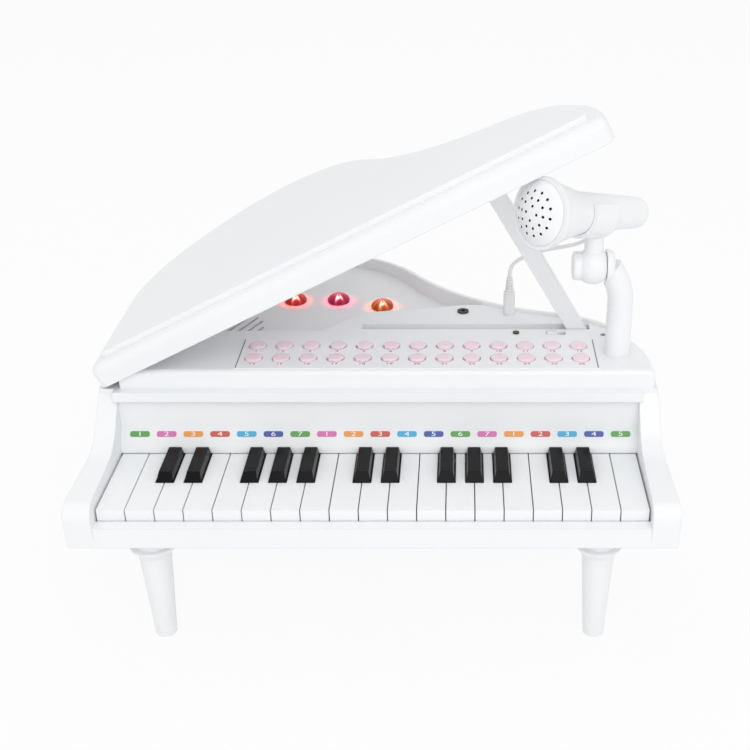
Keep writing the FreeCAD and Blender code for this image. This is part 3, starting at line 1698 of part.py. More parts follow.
def bottom_cover():
    """Plate that closes the case, with leg sockets, rod posts and a battery hatch."""
    bottom = z_at("case_bottom_z")
    wall = size("cover_wall")
    gap = size("fit_gap")
    inset = size("case_inset") + size("wall") + gap
    plate = extrude(
        "cover_plate",
        loose_sketch("cover_outline", bent_outline(inset, y_at("deck_front_y"))),
        wall,
        bottom,
    )
    front = box(
        "cover_front",
        (-HALF_BAY + gap, y_at("slip_front_y") + size("slip_thickness") + gap, bottom),
        (HALF_BAY - gap, y_at("deck_front_y") + 1, bottom + wall),
    )
    bosses = []
    sockets = []
    for label, (x, y) in leg_spots().items():
        low = bottom - size("leg_boss_height")
        bosses.append(cylinder(f"{label}_boss", "leg_boss_radius", bottom + wall - low, Vector(x, y, low)))
        sockets.append(
            cylinder(
                f"{label}_socket",
                "leg_spigot + fit_gap",
                size("leg_spigot_length") + gap,
                Vector(x, y, low),
            )
        )
    post = size("rod_post") / 2
    places = [-HALF_BAY - size("wall") / 2, HALF_BAY + size("wall") / 2]
    for index in range(WHITE_COUNT - 1):
        if index not in BLACK_AFTER:
            places.append((index + 1 - WHITE_COUNT / 2) * size("white_pitch"))
    for number, x in enumerate(places):
        bosses.append(
            box(
                f"rod_post_{number}",
                (x - post, y_at("pivot_y") - 4, bottom),
                (x + post, y_at("pivot_y") + 4, z_at("pivot_z") + 4),
            )
        )
    reach = HALF_WIDTH
    sockets.append(
        cylinder(
            "rod_bore",
            "pivot_radius",
            2 * reach,
            Vector(-reach, y_at("pivot_y"), z_at("pivot_z")),
            Vector(1, 0, 0),
        )
    )
    hatch = hatch_box("hatch_window", 0.0)
    sockets.append(hatch)
    for i, (x, y) in enumerate(screw_spots()):
        spot = Vector(x, KEY_Y + y, bottom)
        below = spot - Vector(0, 0, 1)
        sockets.append(cylinder(f"cover_screw_hole_{i}", "screw_radius + 0.1", 2 * wall, below))
        sockets.append(cylinder(f"cover_screw_seat_{i}", "screw_head + 0.1", 2.0, below))
    solid = fuse("cover_blank", [plate, front] + bosses)
    keep("bottom_cover", cut("bottom_cover", solid, fuse("cover_openings", sockets)))
    keep("battery_cover", hatch_box("battery_cover", size("hatch_gap")))


def hatch_box(name, gap):
    x, y = size("hatch_x"), y_at("hatch_y")
    half_x = size("hatch_width") / 2 - gap
    half_y = size("hatch_depth") / 2 - gap
    bottom = z_at("case_bottom_z")
    low = bottom if gap else bottom - 1
    high = bottom + size("cover_wall") + (0 if gap else 1)
    return box(name, (x - half_x, y - half_y, low), (x + half_x, y + half_y, high))


def case_screws():
    """Pan-head screws from below into the case's bosses."""
    bottom = z_at("case_bottom_z")
    screws = []
    for i, (x, y) in enumerate(screw_spots()):
        spot = Vector(x, KEY_Y + y, bottom)
        head = cylinder(f"screw_head_{i}", "screw_head", 1.0, spot)
        shank = cylinder(f"screw_shank_{i}", "screw_radius", size("screw_length"), spot)
        screws.append(fuse(f"screw_{i}", [head, shank]))
    group = doc.addObject("Part::Compound", "case_screws")
    group.Links = screws
    keep("case_screws", group)


def insides():
    """Circuit board, rubber contact strip and speaker."""
    floor = z_at("case_bottom_z") + size("cover_wall")
    front = y_at("board_front_y")
    top = floor + 0.3 + size("board_thickness")
    half = HALF_BAY - 4
    keep(
        "main_board",
        box("main_board", (-half, front, floor + 0.3), (half, front + size("board_depth"), top)),
    )
    middle = size("contact_y") + size("contact_width") / 2
    drop = (size("pivot_y") - size("contact_y")) * math.tan(math.radians(size("key_press")))
    crest = -size("white_depth") - drop - size("contact_gap")
    base = top - KEY_Z
    width = size("contact_width") / 2
    keep(
        "key_contact_strip",
        across(
            "key_contact_strip",
            [
                (middle - width, base),
                (middle + width, base),
                (middle + width, base + 1),
                (middle + width / 2, crest),
                (middle - width / 2, crest),
                (middle - width, base + 1),
            ],
            half - 1,
        ),
    )
    radius = size("speaker_radius")
    deep = size("speaker_depth")
    magnet = 0.5 * radius
    profile = lines_through(
        [
            (0, -deep),
            (magnet, -deep),
            (magnet, -deep / 2),
            (radius - 3, -2),
            (radius, -2),
            (radius, 0),
            (radius - 3, 0),
            (magnet / 2, -deep / 3),
            (0, -deep / 4),
            (0, -deep),
        ]
    )
    through = size("wall") / math.cos(math.radians(recess_angle()))
    seat = tilted(size("slit_x"), size("slit_y"), -through - 0.2)
    keep("speaker", revolve_body("speaker", profile, seat))


def build():
    keyboard()
    upper_case()
    lid()
    lid_prop()
    button_strips()
    button_label()
    power_switch()
    lamps()
    jacks()
    microphone()
    mic_stand()
    mic_plug()
    mic_cord()
    legs()
    bottom_cover()
    case_screws()
    insides()
    doc.recompute()
    for item in doc.Objects:
        if "Invalid" in item.State or "Error" in item.State:
            raise RuntimeError(f"{item.Name} failed: {item.State}")
    os.makedirs("parts", exist_ok=True)
    for label, thing in PARTS.items():
        if thing.Shape.isNull() or not thing.Shape.isValid():
            raise RuntimeError(f"{label} has no valid shape")
    for label, thing in PARTS.items():
        thing.Shape.exportStep(f"parts/{label}.step")


build()
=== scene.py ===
"""Dresses the toy piano: plastics, keys, buttons, note stickers, lamps, microphone and studio."""

import json
import math

import bmesh
import bpy
from bpy.props import FloatProperty, FloatVectorProperty, PointerProperty
from mathutils import Matrix, Vector


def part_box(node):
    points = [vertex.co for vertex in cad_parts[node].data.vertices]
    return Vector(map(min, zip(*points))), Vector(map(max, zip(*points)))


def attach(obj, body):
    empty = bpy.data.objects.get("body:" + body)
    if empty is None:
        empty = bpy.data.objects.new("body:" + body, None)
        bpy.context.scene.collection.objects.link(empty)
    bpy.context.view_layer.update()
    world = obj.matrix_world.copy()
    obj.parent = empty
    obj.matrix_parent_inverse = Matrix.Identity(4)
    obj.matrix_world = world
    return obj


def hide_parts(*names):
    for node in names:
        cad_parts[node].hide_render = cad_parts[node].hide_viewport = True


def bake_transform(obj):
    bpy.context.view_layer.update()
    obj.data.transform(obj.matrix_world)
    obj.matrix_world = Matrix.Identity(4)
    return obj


bl_info = {
    "name": "Toy Piano Dresser",
    "version": (1, 0, 0),
    "blender": (4, 5, 0),
    "location": "View3D > Sidebar > Piano",
    "description": "Gives a toy grand piano its plastics, prints, lamps, cord and studio",
    "category": "Object",
}

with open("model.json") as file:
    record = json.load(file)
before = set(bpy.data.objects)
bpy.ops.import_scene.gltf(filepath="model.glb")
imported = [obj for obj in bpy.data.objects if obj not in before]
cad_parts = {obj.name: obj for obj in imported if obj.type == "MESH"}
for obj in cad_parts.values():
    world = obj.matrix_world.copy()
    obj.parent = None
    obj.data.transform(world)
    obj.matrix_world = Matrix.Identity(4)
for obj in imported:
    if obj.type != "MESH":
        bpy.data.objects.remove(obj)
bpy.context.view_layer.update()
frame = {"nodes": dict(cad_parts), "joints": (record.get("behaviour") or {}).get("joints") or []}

MM = 0.001
NODES = frame["nodes"]
JOINTS = {joint["name"]: joint for joint in frame["joints"]}
WHITE_KEYS = sorted(name for name in NODES if name.startswith("white_key"))
BLACK_KEYS = sorted(name for name in NODES if name.startswith("black_key"))
KEY_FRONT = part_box(WHITE_KEYS[0])[0].y
KEY_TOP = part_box(WHITE_KEYS[0])[1].z
DECK, LABEL_TOP = (corner.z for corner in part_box("button_label"))

# Places are in millimetres: across, back from the keys' front edge, up from the keys.
# The slope of the rail over the keys, from (back, up) to (back, up), and the note stickers on it.
RAIL_LOW = (75.0, 5.8)
RAIL_HIGH = (83.5, 19.0)
NOTE_BACK = 80.15
NOTE_PITCH = 19.9
NOTE_MIDDLE = 0.8
NOTE_COUNT = 19

# Button caps in columns of two, and the strips that carry them: first column, columns, outline.
BUTTON_FIRST = -93.8
BUTTON_PITCH = 20.35
BUTTON_FRONT = 107.0
BUTTON_ROWS = 21.0
BUTTON_COLUMNS = 13
BUTTON_RADIUS = 6.4
BUTTON_FLANGE = 1.3
BUTTON_STRIPS = {
    "buttons_round_left": (0, 3, "round"),
    "buttons_flower": (3, 3, "flower"),
    "buttons_octagon": (6, 4, "octagon"),
    "buttons_round_right": (10, 3, "round"),
}

# Prints: a number's distance in front of its cap, the inks' heights, and type size per number height.
CAPTION_DROP = 9.0
CAPTION_LIFT = 0.02
BORDER_LIFT = 0.04
INK = 0.03
TYPE_SIZE = 1.35

# Lamps on the sounding board, as (across, back), and the board's slope between two (back, up).
LAMP_SPOTS = ((-79.5, 238.0), (-43.0, 238.5), (-5.3, 227.0))
BOARD_FRONT = (156.0, 48.0)
BOARD_BACK = (320.0, 56.0)

# Deck screws and the plug, as (across, back); the plug's heights are from its seat.
DECK_SCREWS = ((163.5, 172.5), (171.3, 148.5))
PLUG = (99.5, 187.0)
PLUG_SEAT = 1.2
PLUG_BODY = 19.0
PLUG_TOP = 31.0
SOCKET_REACH = 10.0

# The microphone over its hub: turn and raise in degrees, height of its axis, and its grille.
MIC_TURN = 41.0
MIC_RAISE = 12.8
MIC_HEIGHT = 40.5
MIC_RIM = 58.0
GRILLE_FIELD = 17.0
HOLE_FLOOR = (0.5, 1.2)

# Edges that the finish draws elsewhere than the solids do: (back, up) in the solid, then here.
# On the case: the key slip's rear edge, then the foot, lower edge and inside of the rail over the keys.
CASE_EDGES = (
    ((-3.0, -9.0), (-0.5, -9.0)),
    ((69.5, 7.4), (74.5, 0.4)),
    ((69.5, 9.2), RAIL_LOW),
    ((74.5, 7.4), (79.5, 7.4)),
)
# On a black key: the rear edge of its top and the foot of its rear end.
BLACK_KEY_EDGES = (
    ((84.0, 6.2), (74.0, 6.2)),
    ((84.0, 0.0), (74.0, 0.0)),
)

# The cord's route from the plug's top, as offsets in millimetres. Its last two points are at the handle.
CORD_ROUTE = (
    (0.0, 0.0, 0.1),
    (0.0, 0.0, 6.5),
    (3.2, 0.6, 12.3),
    (11.5, 0.5, 17.5),
    (24.0, -4.0, 24.5),
    (38.5, -11.5, 30.0),
    (51.5, -17.5, 35.0),
    (65.5, -24.5, 46.0),
)
CORD_DIAMETER = 3.0


def at(across, back, up):
    """A point from millimetres across, back from the keys' front edge and up from the keys."""
    return Vector((across * MM, KEY_FRONT + back * MM, KEY_TOP + up * MM))


def linear(code):
    """Linear colour of an sRGB hex value."""
    shares = [int(code[i : i + 2], 16) / 255 for i in (0, 2, 4)]
    curve = [c / 12.92 if c <= 0.04045 else ((c + 0.055) / 1.055) ** 2.4 for c in shares]
    return (*curve, 1.0)


def colour(name, description, code):
    """A colour setting from an sRGB hex value."""
    return FloatVectorProperty(
        name=name, description=description, subtype="COLOR", size=4, min=0.0, max=1.0, default=linear(code)
    )


def length(name, description, millimetres):
    """A length setting from millimetres."""
    return FloatProperty(
        name=name, description=description, unit="LENGTH", precision=5, default=millimetres * MM
    )


class PianoColours(bpy.types.PropertyGroup):
    """Colours of the piano's plastics and prints."""

    shell: colour("Shell", "White of the case, lid and legs", "F8F9FB")
    shell_shade: colour("Shell flow marks", "Slightly darker white in the moulding's flow marks", "F4F6F8")
    white_key: colour("White keys", "White of the keys' plastic", "F9FAFB")
    black_key: colour("Black keys", "Black of the keys' plastic", "060607")
    black_shade: colour("Black key haze", "Lighter black where the gloss is rubbed", "101013")
    cap: colour("Button caps", "Pink of the see-through caps", "FFE9F1")
    # Painted shade together with the thick plastic's deeper pink: the colour the caps take where they are
    # seen edge-on.
    cap_deep: colour("Button caps, deep", "Pink where a cap is thick", "F9C6DA")
    film: colour("Label film", "White of the film round the buttons", "FBFCFE")
    border: colour("Label border", "Grey line at the label's ends", "4A5052")
    number: colour("Button numbers", "Ink of the numbers under the buttons", "9A2450")
    numeral: colour("Note numbers", "Ink of the numbers on the stickers", "FBFBFB")
    note_one: colour("Note 1", "First sticker colour", "64A657")
    note_two: colour("Note 2", "Second sticker colour", "D979B4")
    note_three: colour("Note 3", "Third sticker colour", "EFA24B")
    note_four: colour("Note 4", "Fourth sticker colour", "CF5F55")
    note_five: colour("Note 5", "Fifth sticker colour", "4BB2DC")
    note_six: colour("Note 6", "Sixth sticker colour", "4A5EA8")
    lamp_left: colour("Left lamp", "Tint of the left jewel", "D0301F")
    lamp_middle: colour("Middle lamp", "Tint of the middle jewel", "C2164E")
    lamp_right: colour("Right lamp", "Tint of the right jewel", "D26214")
    power: colour("Power light", "Tint of the unlit power light", "3E0C0A")
    socket: colour("Sockets", "Black of the sockets", "1B1C1E")
    cord: colour("Cord", "White of the cord's sheath", "E9EAEC")


class PianoSizes(bpy.types.PropertyGroup):
    """Small sizes that only the finish needs."""

    shell_edge: length("Shell edge", "Rounding of the case's edges", 0.7)
    key_edge: length("White key edge", "Rounding of a white key's edges", 0.7)
    key_slim: length("White key slit", "How far each side of a white key is drawn in", 0.15)
    black_edge: length("Black key edge", "Rounding of a black key's edges", 0.5)
    prop_edge: length("Prop edge", "Rounding of the lid prop's edges", 2.2)
    knob_edge: length("Switch edge", "Rounding of the power switch's edges", 0.25)
    cap_rise: length("Cap rise", "Height of a cap's crown over the label", 1.8)
    sticker_width: length("Sticker width", "Width of a note sticker", 14.6)
    sticker_height: length("Sticker height", "Height of a note sticker on its slope", 4.3)
    sticker_thickness: length("Sticker thickness", "Thickness of a note sticker", 0.25)
    numeral_height: length("Numeral height", "Height of a note sticker's number", 3.4)
    caption_height: length("Caption height", "Height of a number under a button", 2.6)
    border_line: length("Border line", "Width of the lines at the label's ends", 0.7)
    lens_radius: length("Jewel radius", "Radius of a lamp's jewel", 9.5)
    lens_height: length("Jewel height", "Height of a lamp's jewel", 6.6)
    halo_radius: length("Halo radius", "Reach of a lamp's light on the board round it", 19.0)
    halo_height: length("Halo height", "Height from which a lamp's light falls back on the board", 30.0)
    screw_radius: length("Screw radius", "Radius of a deck screw's head", 2.1)


class PianoStudio(bpy.types.PropertyGroup):
    """Light and camera."""

    key_power: FloatProperty(name="Front light", description="Power of the front soft box", default=12.0)
    fill_power: FloatProperty(name="Low light", description="Power of the low soft box", default=1.2)
    top_power: FloatProperty(name="Top light", description="Power of the overhead soft box", default=2.8)
    lamp_power: FloatProperty(name="Lamp glow", description="Power of a jewel's own light", default=0.09)
    world_light: FloatProperty(name="World", description="Strength of the white room", default=0.77)
    lens: FloatProperty(name="Lens", description="Focal length in millimetres", default=56.6)
    camera_spot: FloatVectorProperty(
        name="Camera", description="Place of the camera", subtype="XYZ", default=(0.0621, -0.8332, 0.5787)
    )
    camera_tilt: FloatProperty(
        name="Camera tilt",
        description="Tilt up from straight down",
        subtype="ANGLE",
        default=math.radians(62.5),
    )
    camera_shift: FloatProperty(
        name="Camera shift", description="Sideways shift of the frame", default=-0.1167
    )


# Materials


def add(tree, kind, inputs=None, **settings):
    """Add a node: settings are its own values, and inputs fill or link its sockets."""
    node = tree.nodes.new(kind)
    for name, value in settings.items():
        setattr(node, name, value)
    for name, value in (inputs or {}).items():
        if isinstance(value, bpy.types.NodeSocket):
            tree.links.new(value, node.inputs[name])
        else:
            node.inputs[name].default_value = value
    return node


def start(name):
    """An empty material of that name, with its node tree."""
    material = bpy.data.materials.new(name)
    material.use_nodes = True
    material.node_tree.nodes.clear()
    return material, material.node_tree


def surfaced(material, inputs):
    """Close a material with one principled surface."""
    tree = material.node_tree
    shader = add(tree, "ShaderNodeBsdfPrincipled", inputs)
    add(tree, "ShaderNodeOutputMaterial", {"Surface": shader.outputs["BSDF"]})
    return material


def mottle(tree, width, detail):
    """Noise fixed to the object, in patches about that many metres wide."""
    spot = add(tree, "ShaderNodeTexCoord").outputs["Object"]
    noise = add(tree, "ShaderNodeTexNoise", {"Vector": spot, "Scale": 1 / width, "Detail": detail})
    return noise.outputs["Fac"]


def between(tree, share, first, second):
    """Colour from the first to the second as the share goes from 0 to 1."""
    inputs = {"Factor": share, "A": first, "B": second}
    return add(tree, "ShaderNodeMix", inputs, data_type="RGBA").outputs["Result"]


def dimmed(tint, share):
    """A colour with less light, by a share of it."""
    return (*(share * c for c in tint[:3]), 1.0)


def worked(tree, operation, first, second=0.0, clamp=False):
    """Result of one sum on two values or sockets."""
    inputs = {0: first, 1: second}
    return add(tree, "ShaderNodeMath", inputs, operation=operation, use_clamp=clamp).outputs[0]


def polished_abs(name, plain, shade, roughness, edge, shine=0.5):
    """ABS moulded in a polished tool: an even gloss, faint flow marks and soft edges."""
    material, tree = start(name)
    flow_width = 60 * MM
    round_edge = add(tree, "ShaderNodeBevel", {"Radius": edge}, samples=6)
    inputs = {
        "Base Color": between(tree, mottle(tree, flow_width, 1.0), shade, plain),
        "Roughness": roughness,
        "IOR": 1.53,
        "Specular IOR Level": shine,
        "Normal": round_edge.outputs["Normal"],
    }
    return surfaced(material, inputs)


def tinted_styrene(name, plain, deep):
    """Clear pink polystyrene, moulded: light goes in, so thick edges look deeper than the crown; the
    deeper pink where a cap is seen edge-on is also painted shade at its edges.
    """
    material, tree = start(name)
    slant = add(tree, "ShaderNodeLayerWeight", {"Blend": 0.35}).outputs["Facing"]
    cloud_width = 5 * MM
    # Painted shade and thickness together: deeper pink where the surface turns from the view, in random
    # clouds.
    depth_and_shade = worked(tree, "MULTIPLY", slant, mottle(tree, cloud_width, 2.0), clamp=True)
    inputs = {
        "Base Color": between(tree, depth_and_shade, plain, deep),
        "Roughness": 0.16,
        "IOR": 1.59,
        "Subsurface Weight": 0.35,
        "Subsurface Radius": (1.0, 0.5, 0.6),
        "Subsurface Scale": 1.5 * MM,
    }
    return surfaced(material, inputs)


def printed_film(name, plain, roughness):
    """Ink or film on polypropylene: dull, even, with the film's fine tooth."""
    material, tree = start(name)
    # The real tooth is about 0.1 mm and too fine to show, so it is drawn at 0.5 mm.
    tooth_width = 0.5 * MM
    tooth = mottle(tree, tooth_width, 2.0)
    bump = add(tree, "ShaderNodeBump", {"Strength": 0.1, "Distance": 0.01 * MM, "Height": tooth})
    inputs = {
        "Base Color": between(tree, tooth, plain, dimmed(plain, 0.94)),
        "Roughness": roughness,
        "Normal": bump.outputs["Normal"],
    }
    return surfaced(material, inputs)


def lit_acrylic(name, tint, radius, light):
    """Faceted acrylic jewel over a light: white-hot where one looks into the light, then deep tint."""
    material, tree = start(name)
    place = add(tree, "ShaderNodeObjectInfo").outputs["Location"]
    source = add(tree, "ShaderNodeVectorMath", {0: place, 1: (0.0, 0.0, light)}, operation="ADD")
    surface = add(tree, "ShaderNodeNewGeometry")
    ends = {0: surface.outputs["Position"], 1: source.outputs[0]}
    reach = add(tree, "ShaderNodeVectorMath", ends, operation="SUBTRACT")
    # How far the line of sight passes from the light behind the jewel.
    lines = {0: reach.outputs[0], 1: surface.outputs["Incoming"]}
    sight = add(tree, "ShaderNodeVectorMath", lines, operation="CROSS_PRODUCT")
    miss = add(tree, "ShaderNodeVectorMath", {0: sight.outputs[0]}, operation="LENGTH").outputs["Value"]
    spot = add(tree, "ShaderNodeTexCoord").outputs["Object"]
    axes = add(tree, "ShaderNodeSeparateXYZ", {"Vector": spot})
    turn = worked(tree, "ARCTAN2", axes.outputs["Y"], axes.outputs["X"])
    # A star of rays, along which the glow reaches further.
    ray_count = 8.0
    rays = worked(tree, "SINE", worked(tree, "MULTIPLY", turn, ray_count))
    span = {"Value": rays, "From Min": -1.0, "To Min": 0.55 / radius, "To Max": 1.6 / radius}
    stretch = add(tree, "ShaderNodeMapRange", span).outputs["Result"]
    ramp = add(tree, "ShaderNodeValToRGB", {"Fac": worked(tree, "MULTIPLY", miss, stretch)})
    glow = ramp.color_ramp
    glow.elements[0].color = (1.0, 0.94, 0.9, 1.0)
    glow.elements[0].position = 0.12
    glow.elements[1].color = dimmed(tint, 0.22)
    glow.elements[1].position = 0.9
    glow.elements.new(0.28).color = tint
    glow.elements.new(0.5).color = dimmed(tint, 0.5)
    inputs = {
        "Base Color": dimmed(tint, 0.2),
        "Roughness": 0.07,
        "IOR": 1.49,
        "Emission Color": ramp.outputs["Color"],
        "Emission Strength": 1.0,
    }
    return surfaced(material, inputs)


def bright_steel(name):
    """Steel rod and screws, zinc plated: grey, with fine drawing marks along the piece."""
    material, tree = start(name)
    mark_width = 0.8 * MM
    marks = mottle(tree, mark_width, 4.0)
    rough = add(tree, "ShaderNodeMapRange", {"Value": marks, "To Min": 0.25, "To Max": 0.42})
    inputs = {"Base Color": linear("9C9EA2"), "Metallic": 1.0, "Roughness": rough.outputs["Result"]}
    return surfaced(material, inputs)


def grained_plastic(name, plain, roughness):
    """Plastic, rubber or lacquer with a spark-eroded grain: dull, with a fine even pitting."""
    material, tree = start(name)
    grain_width = 0.6 * MM
    grain = mottle(tree, grain_width, 3.0)
    pale = (*(min(1.0, 1.25 * c + 0.004) for c in plain[:3]), 1.0)
    bump = add(tree, "ShaderNodeBump", {"Strength": 0.25, "Distance": 0.03 * MM, "Height": grain})
    inputs = {
        "Base Color": between(tree, grain, plain, pale),
        "Roughness": roughness,
        "Normal": bump.outputs["Normal"],
    }
    return surfaced(material, inputs)


def finish_of(name):
    """A material by name, made the first time it is asked for."""
    if name in bpy.data.materials:
        return bpy.data.materials[name]
    tints = bpy.context.scene.piano_colours
    sizes = bpy.context.scene.piano_sizes
    if name == "White polished ABS":
        return polished_abs(name, tints.shell, tints.shell_shade, 0.3, sizes.shell_edge)
    if name == "Key white polished ABS":
        return polished_abs(name, tints.white_key, tints.shell_shade, 0.2, sizes.key_edge)
    if name == "Black polished ABS":
        return polished_abs(name, tints.black_key, tints.black_shade, 0.25, sizes.black_edge, shine=0.12)
    if name == "Pink clear styrene":
        return tinted_styrene(name, tints.cap, tints.cap_deep)
    if name == "Zinc plated steel":
        return bright_steel(name)
    plain = {
        "Label film": (tints.film, 0.4),
        "Grey border ink": (tints.border, 0.5),
        "Rose number ink": (tints.number, 0.5),
        "White numeral ink": (tints.numeral, 0.45),
        "Green sticker ink": (tints.note_one, 0.42),
        "Pink sticker ink": (tints.note_two, 0.42),
        "Orange sticker ink": (tints.note_three, 0.42),
        "Red sticker ink": (tints.note_four, 0.42),
        "Blue sticker ink": (tints.note_five, 0.42),
        "Navy sticker ink": (tints.note_six, 0.42),
    }
    if name in plain:
        return printed_film(name, *plain[name])
    dull = {
        "Black moulded nylon": (tints.socket, 0.4),
        "Grille shadow black": (linear("101113"), 0.8),
        "Dark red light resin": (tints.power, 0.18),
        "Grey silicone rubber": (linear("6A6B6E"), 0.75),
        "Green board lacquer": (linear("245C34"), 0.45),
        "Grey speaker paper": (linear("8A8D92"), 0.7),
        "White soft sheath": (tints.cord, 0.5),
    }
    return grained_plastic(name, *dull[name])


# Meshes


def piece(name, mesh, finishes, body, replaced=(), crease=32.0):
    """A finished object that rides on a body, takes a slot's finish and stands for CAD nodes."""
    for finish in finishes:
        mesh.materials.append(finish_of(finish))
    mesh.polygons.foreach_set("use_smooth", [True] * len(mesh.polygons))
    mesh.set_sharp_from_angle(angle=math.radians(crease))
    made = bpy.data.objects.new(name, mesh)
    bpy.context.scene.collection.objects.link(made)
    weighted = made.modifiers.new("Even shading", "WEIGHTED_NORMAL")
    weighted.keep_sharp = True
    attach(made, body)
    if replaced:
        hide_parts(*replaced)
    return made


def to_mesh(work, name, turn_out=True):
    """A mesh from finished bmesh work, with its faces turned outwards unless they are already."""
    if turn_out:
        bmesh.ops.recalc_face_normals(work, faces=work.faces)
    mesh = bpy.data.meshes.new(name)
    work.to_mesh(mesh)
    work.free()
    return mesh


def redrawn(spot, edges):
    """A solid's corner, moved where the finish draws its edge elsewhere."""
    close = 0.05 * MM
    for (back, up), (new_back, new_up) in edges:
        offset = at(0, back, up) - spot
        if math.hypot(offset.y, offset.z) < close:
            return at(spot.x / MM, new_back, new_up)
    return spot


def softened(node, width, segments=2, edges_moved=()):
    """Copy of a CAD node's mesh, with some edges moved and its sharp edges rounded."""
    source = NODES[node].data
    work = bmesh.new()
    corners = [work.verts.new(redrawn(vertex.co, edges_moved)) for vertex in source.vertices]
    for polygon in source.polygons:
        work.faces.new([corners[i] for i in polygon.vertices])
    bmesh.ops.remove_doubles(work, verts=work.verts, dist=0.002 * MM)
    if width:
        flat, sharp = math.radians(0.2), math.radians(30.0)
        bmesh.ops.dissolve_limit(work, angle_limit=flat, verts=work.verts, edges=work.edges)
        edges = [edge for edge in work.edges if edge.calc_face_angle(0.0) > sharp]
        bmesh.ops.bevel(
            work,
            geom=edges,
            offset=width,
            segments=segments,
            profile=0.5,
            affect="EDGES",
            clamp_overlap=True,
        )
    return to_mesh(work, f"{node}_rounded", turn_out=False)


def loft(work, rings):
    """Skin rings of points, each with the same count, into a closed form."""
    loops = [[work.verts.new(point) for point in points] for points in rings]
    count = len(loops[0])
    for low, high in zip(loops, loops[1:]):
        for i in range(count):
            j = (i + 1) % count
            work.faces.new((low[i], low[j], high[j], high[i]))
    work.faces.new(list(reversed(loops[0])))
    work.faces.new(loops[-1])


def ring(spot, radius, up, steps=24, turn=0.0):
    """Points of a level circle round a spot; the radius may depend on the angle."""
    points = []
    for i in range(steps):
        angle = turn + 2 * math.pi * i / steps
        reach = radius(angle) if callable(radius) else radius
        points.append(spot + Vector((reach * math.cos(angle), reach * math.sin(angle), up)))
    return points


def block(work, low, high):
    """A plain block between two opposite corners."""
    plan = ((low.x, low.y), (high.x, low.y), (high.x, high.y), (low.x, high.y))
    loft(work, [[Vector((x, y, z)) for x, y in plan] for z in (low.z, high.z)])


def printed(texts, height, name):
    """Flat numbers as one mesh, each text with its own placement."""
    work = bmesh.new()
    for text, placement in texts:
        curve = bpy.data.curves.new(name, "FONT")
        curve.body = text
        curve.size = height * TYPE_SIZE
        curve.align_x = "CENTER"
        curve.align_y = "CENTER"
        curve.extrude = INK * MM
        curve.resolution_u = 3
        holder = bpy.data.objects.new(name, curve)
        flat = bpy.data.meshes.new_from_object(holder)
        flat.transform(placement)
        work.from_mesh(flat)
        bpy.data.objects.remove(holder)
        bpy.data.curves.remove(curve)
        bpy.data.meshes.remove(flat)
    bmesh.ops.remove_doubles(work, verts=work.verts, dist=0.001 * MM)
    return to_mesh(work, name, turn_out=False)


def slimmed(mesh, amount):
    """Draw a key's two sides in a little, so that the slits between keys read as dark lines."""
    low = min(vertex.co.x for vertex in mesh.vertices)
    high = max(vertex.co.x for vertex in mesh.vertices)
    middle = (low + high) / 2
    share = 1 - 2 * amount / (high - low)
    for vertex in mesh.vertices:
        vertex.co.x = middle + (vertex.co.x - middle) * share


def keep_node(node, finish):
    """Give a CAD node that stays as it is its finish."""
    data = NODES[node].data
    data.materials.clear()
    data.materials.append(finish_of(finish))


# Operators


class PIANO_OT_shell(bpy.types.Operator):
    """Round the case, lid, prop and legs and give them their white plastic"""

    bl_idname = "piano.shell"
    bl_label = "Dress case and lid"

    def execute(self, context):
        mouldings = {
            "case_moulding": ("upper_case", "piano"),
            "underside_moulding": ("bottom_cover", "piano"),
            "battery_door": ("battery_cover", "piano"),
            "left_leg": ("leg_front_left", "piano"),
            "right_leg": ("leg_front_right", "piano"),
            "back_leg": ("leg_rear", "piano"),
            "lid_moulding": ("lid", "lid"),
            "prop_post": ("lid_prop", "prop"),
        }
        for name, (node, body) in mouldings.items():
            width = context.scene.piano_sizes.prop_edge if node == "lid_prop" else 0.0
            moved = CASE_EDGES if node == "upper_case" else ()
            mesh = softened(node, width, edges_moved=moved)
            piece(name, mesh, ["White polished ABS"], body, [node])
        hidden = {
            "lid_hinge_pins": "Zinc plated steel",
            "key_pivot_rod": "Zinc plated steel",
            "case_screws": "Zinc plated steel",
            "key_contact_strip": "Grey silicone rubber",
            "main_board": "Green board lacquer",
            "speaker": "Grey speaker paper",
        }
        for node, finish in hidden.items():
            keep_node(node, finish)
        return {"FINISHED"}


class PIANO_OT_keys(bpy.types.Operator):
    """Round the keys' edges and give them their plastics"""

    bl_idname = "piano.keys"
    bl_label = "Dress keys"

    def execute(self, context):
        sizes = context.scene.piano_sizes
        for node in WHITE_KEYS:
            mesh = softened(node, sizes.key_edge)
            slimmed(mesh, sizes.key_slim)
            piece(f"{node}_top", mesh, ["Key white polished ABS"], node, [node])
        for node in BLACK_KEYS:
            mesh = softened(node, sizes.black_edge, segments=3, edges_moved=BLACK_KEY_EDGES)
            piece(f"{node}_top", mesh, ["Black polished ABS"], node, [node])
        return {"FINISHED"}


def cap_reach(style, angle):
    """Radius of a cap's outline at an angle, as a share of the full radius."""
    if style == "flower":
        return 0.93 + 0.07 * math.cos(8 * angle)
    if style == "octagon":
        eighth = math.pi / 4
        return math.cos(eighth / 2) / math.cos((angle % eighth) - eighth / 2)
    return 1.0


def button_spots(first, count):
    """Places of the caps in some columns, front row first."""
    spots = []
    for column in range(first, first + count):
        for row in range(2):
            across = BUTTON_FIRST + column * BUTTON_PITCH
            spots.append((column, row, at(across, BUTTON_FRONT + row * BUTTON_ROWS, 0)))
    return spots


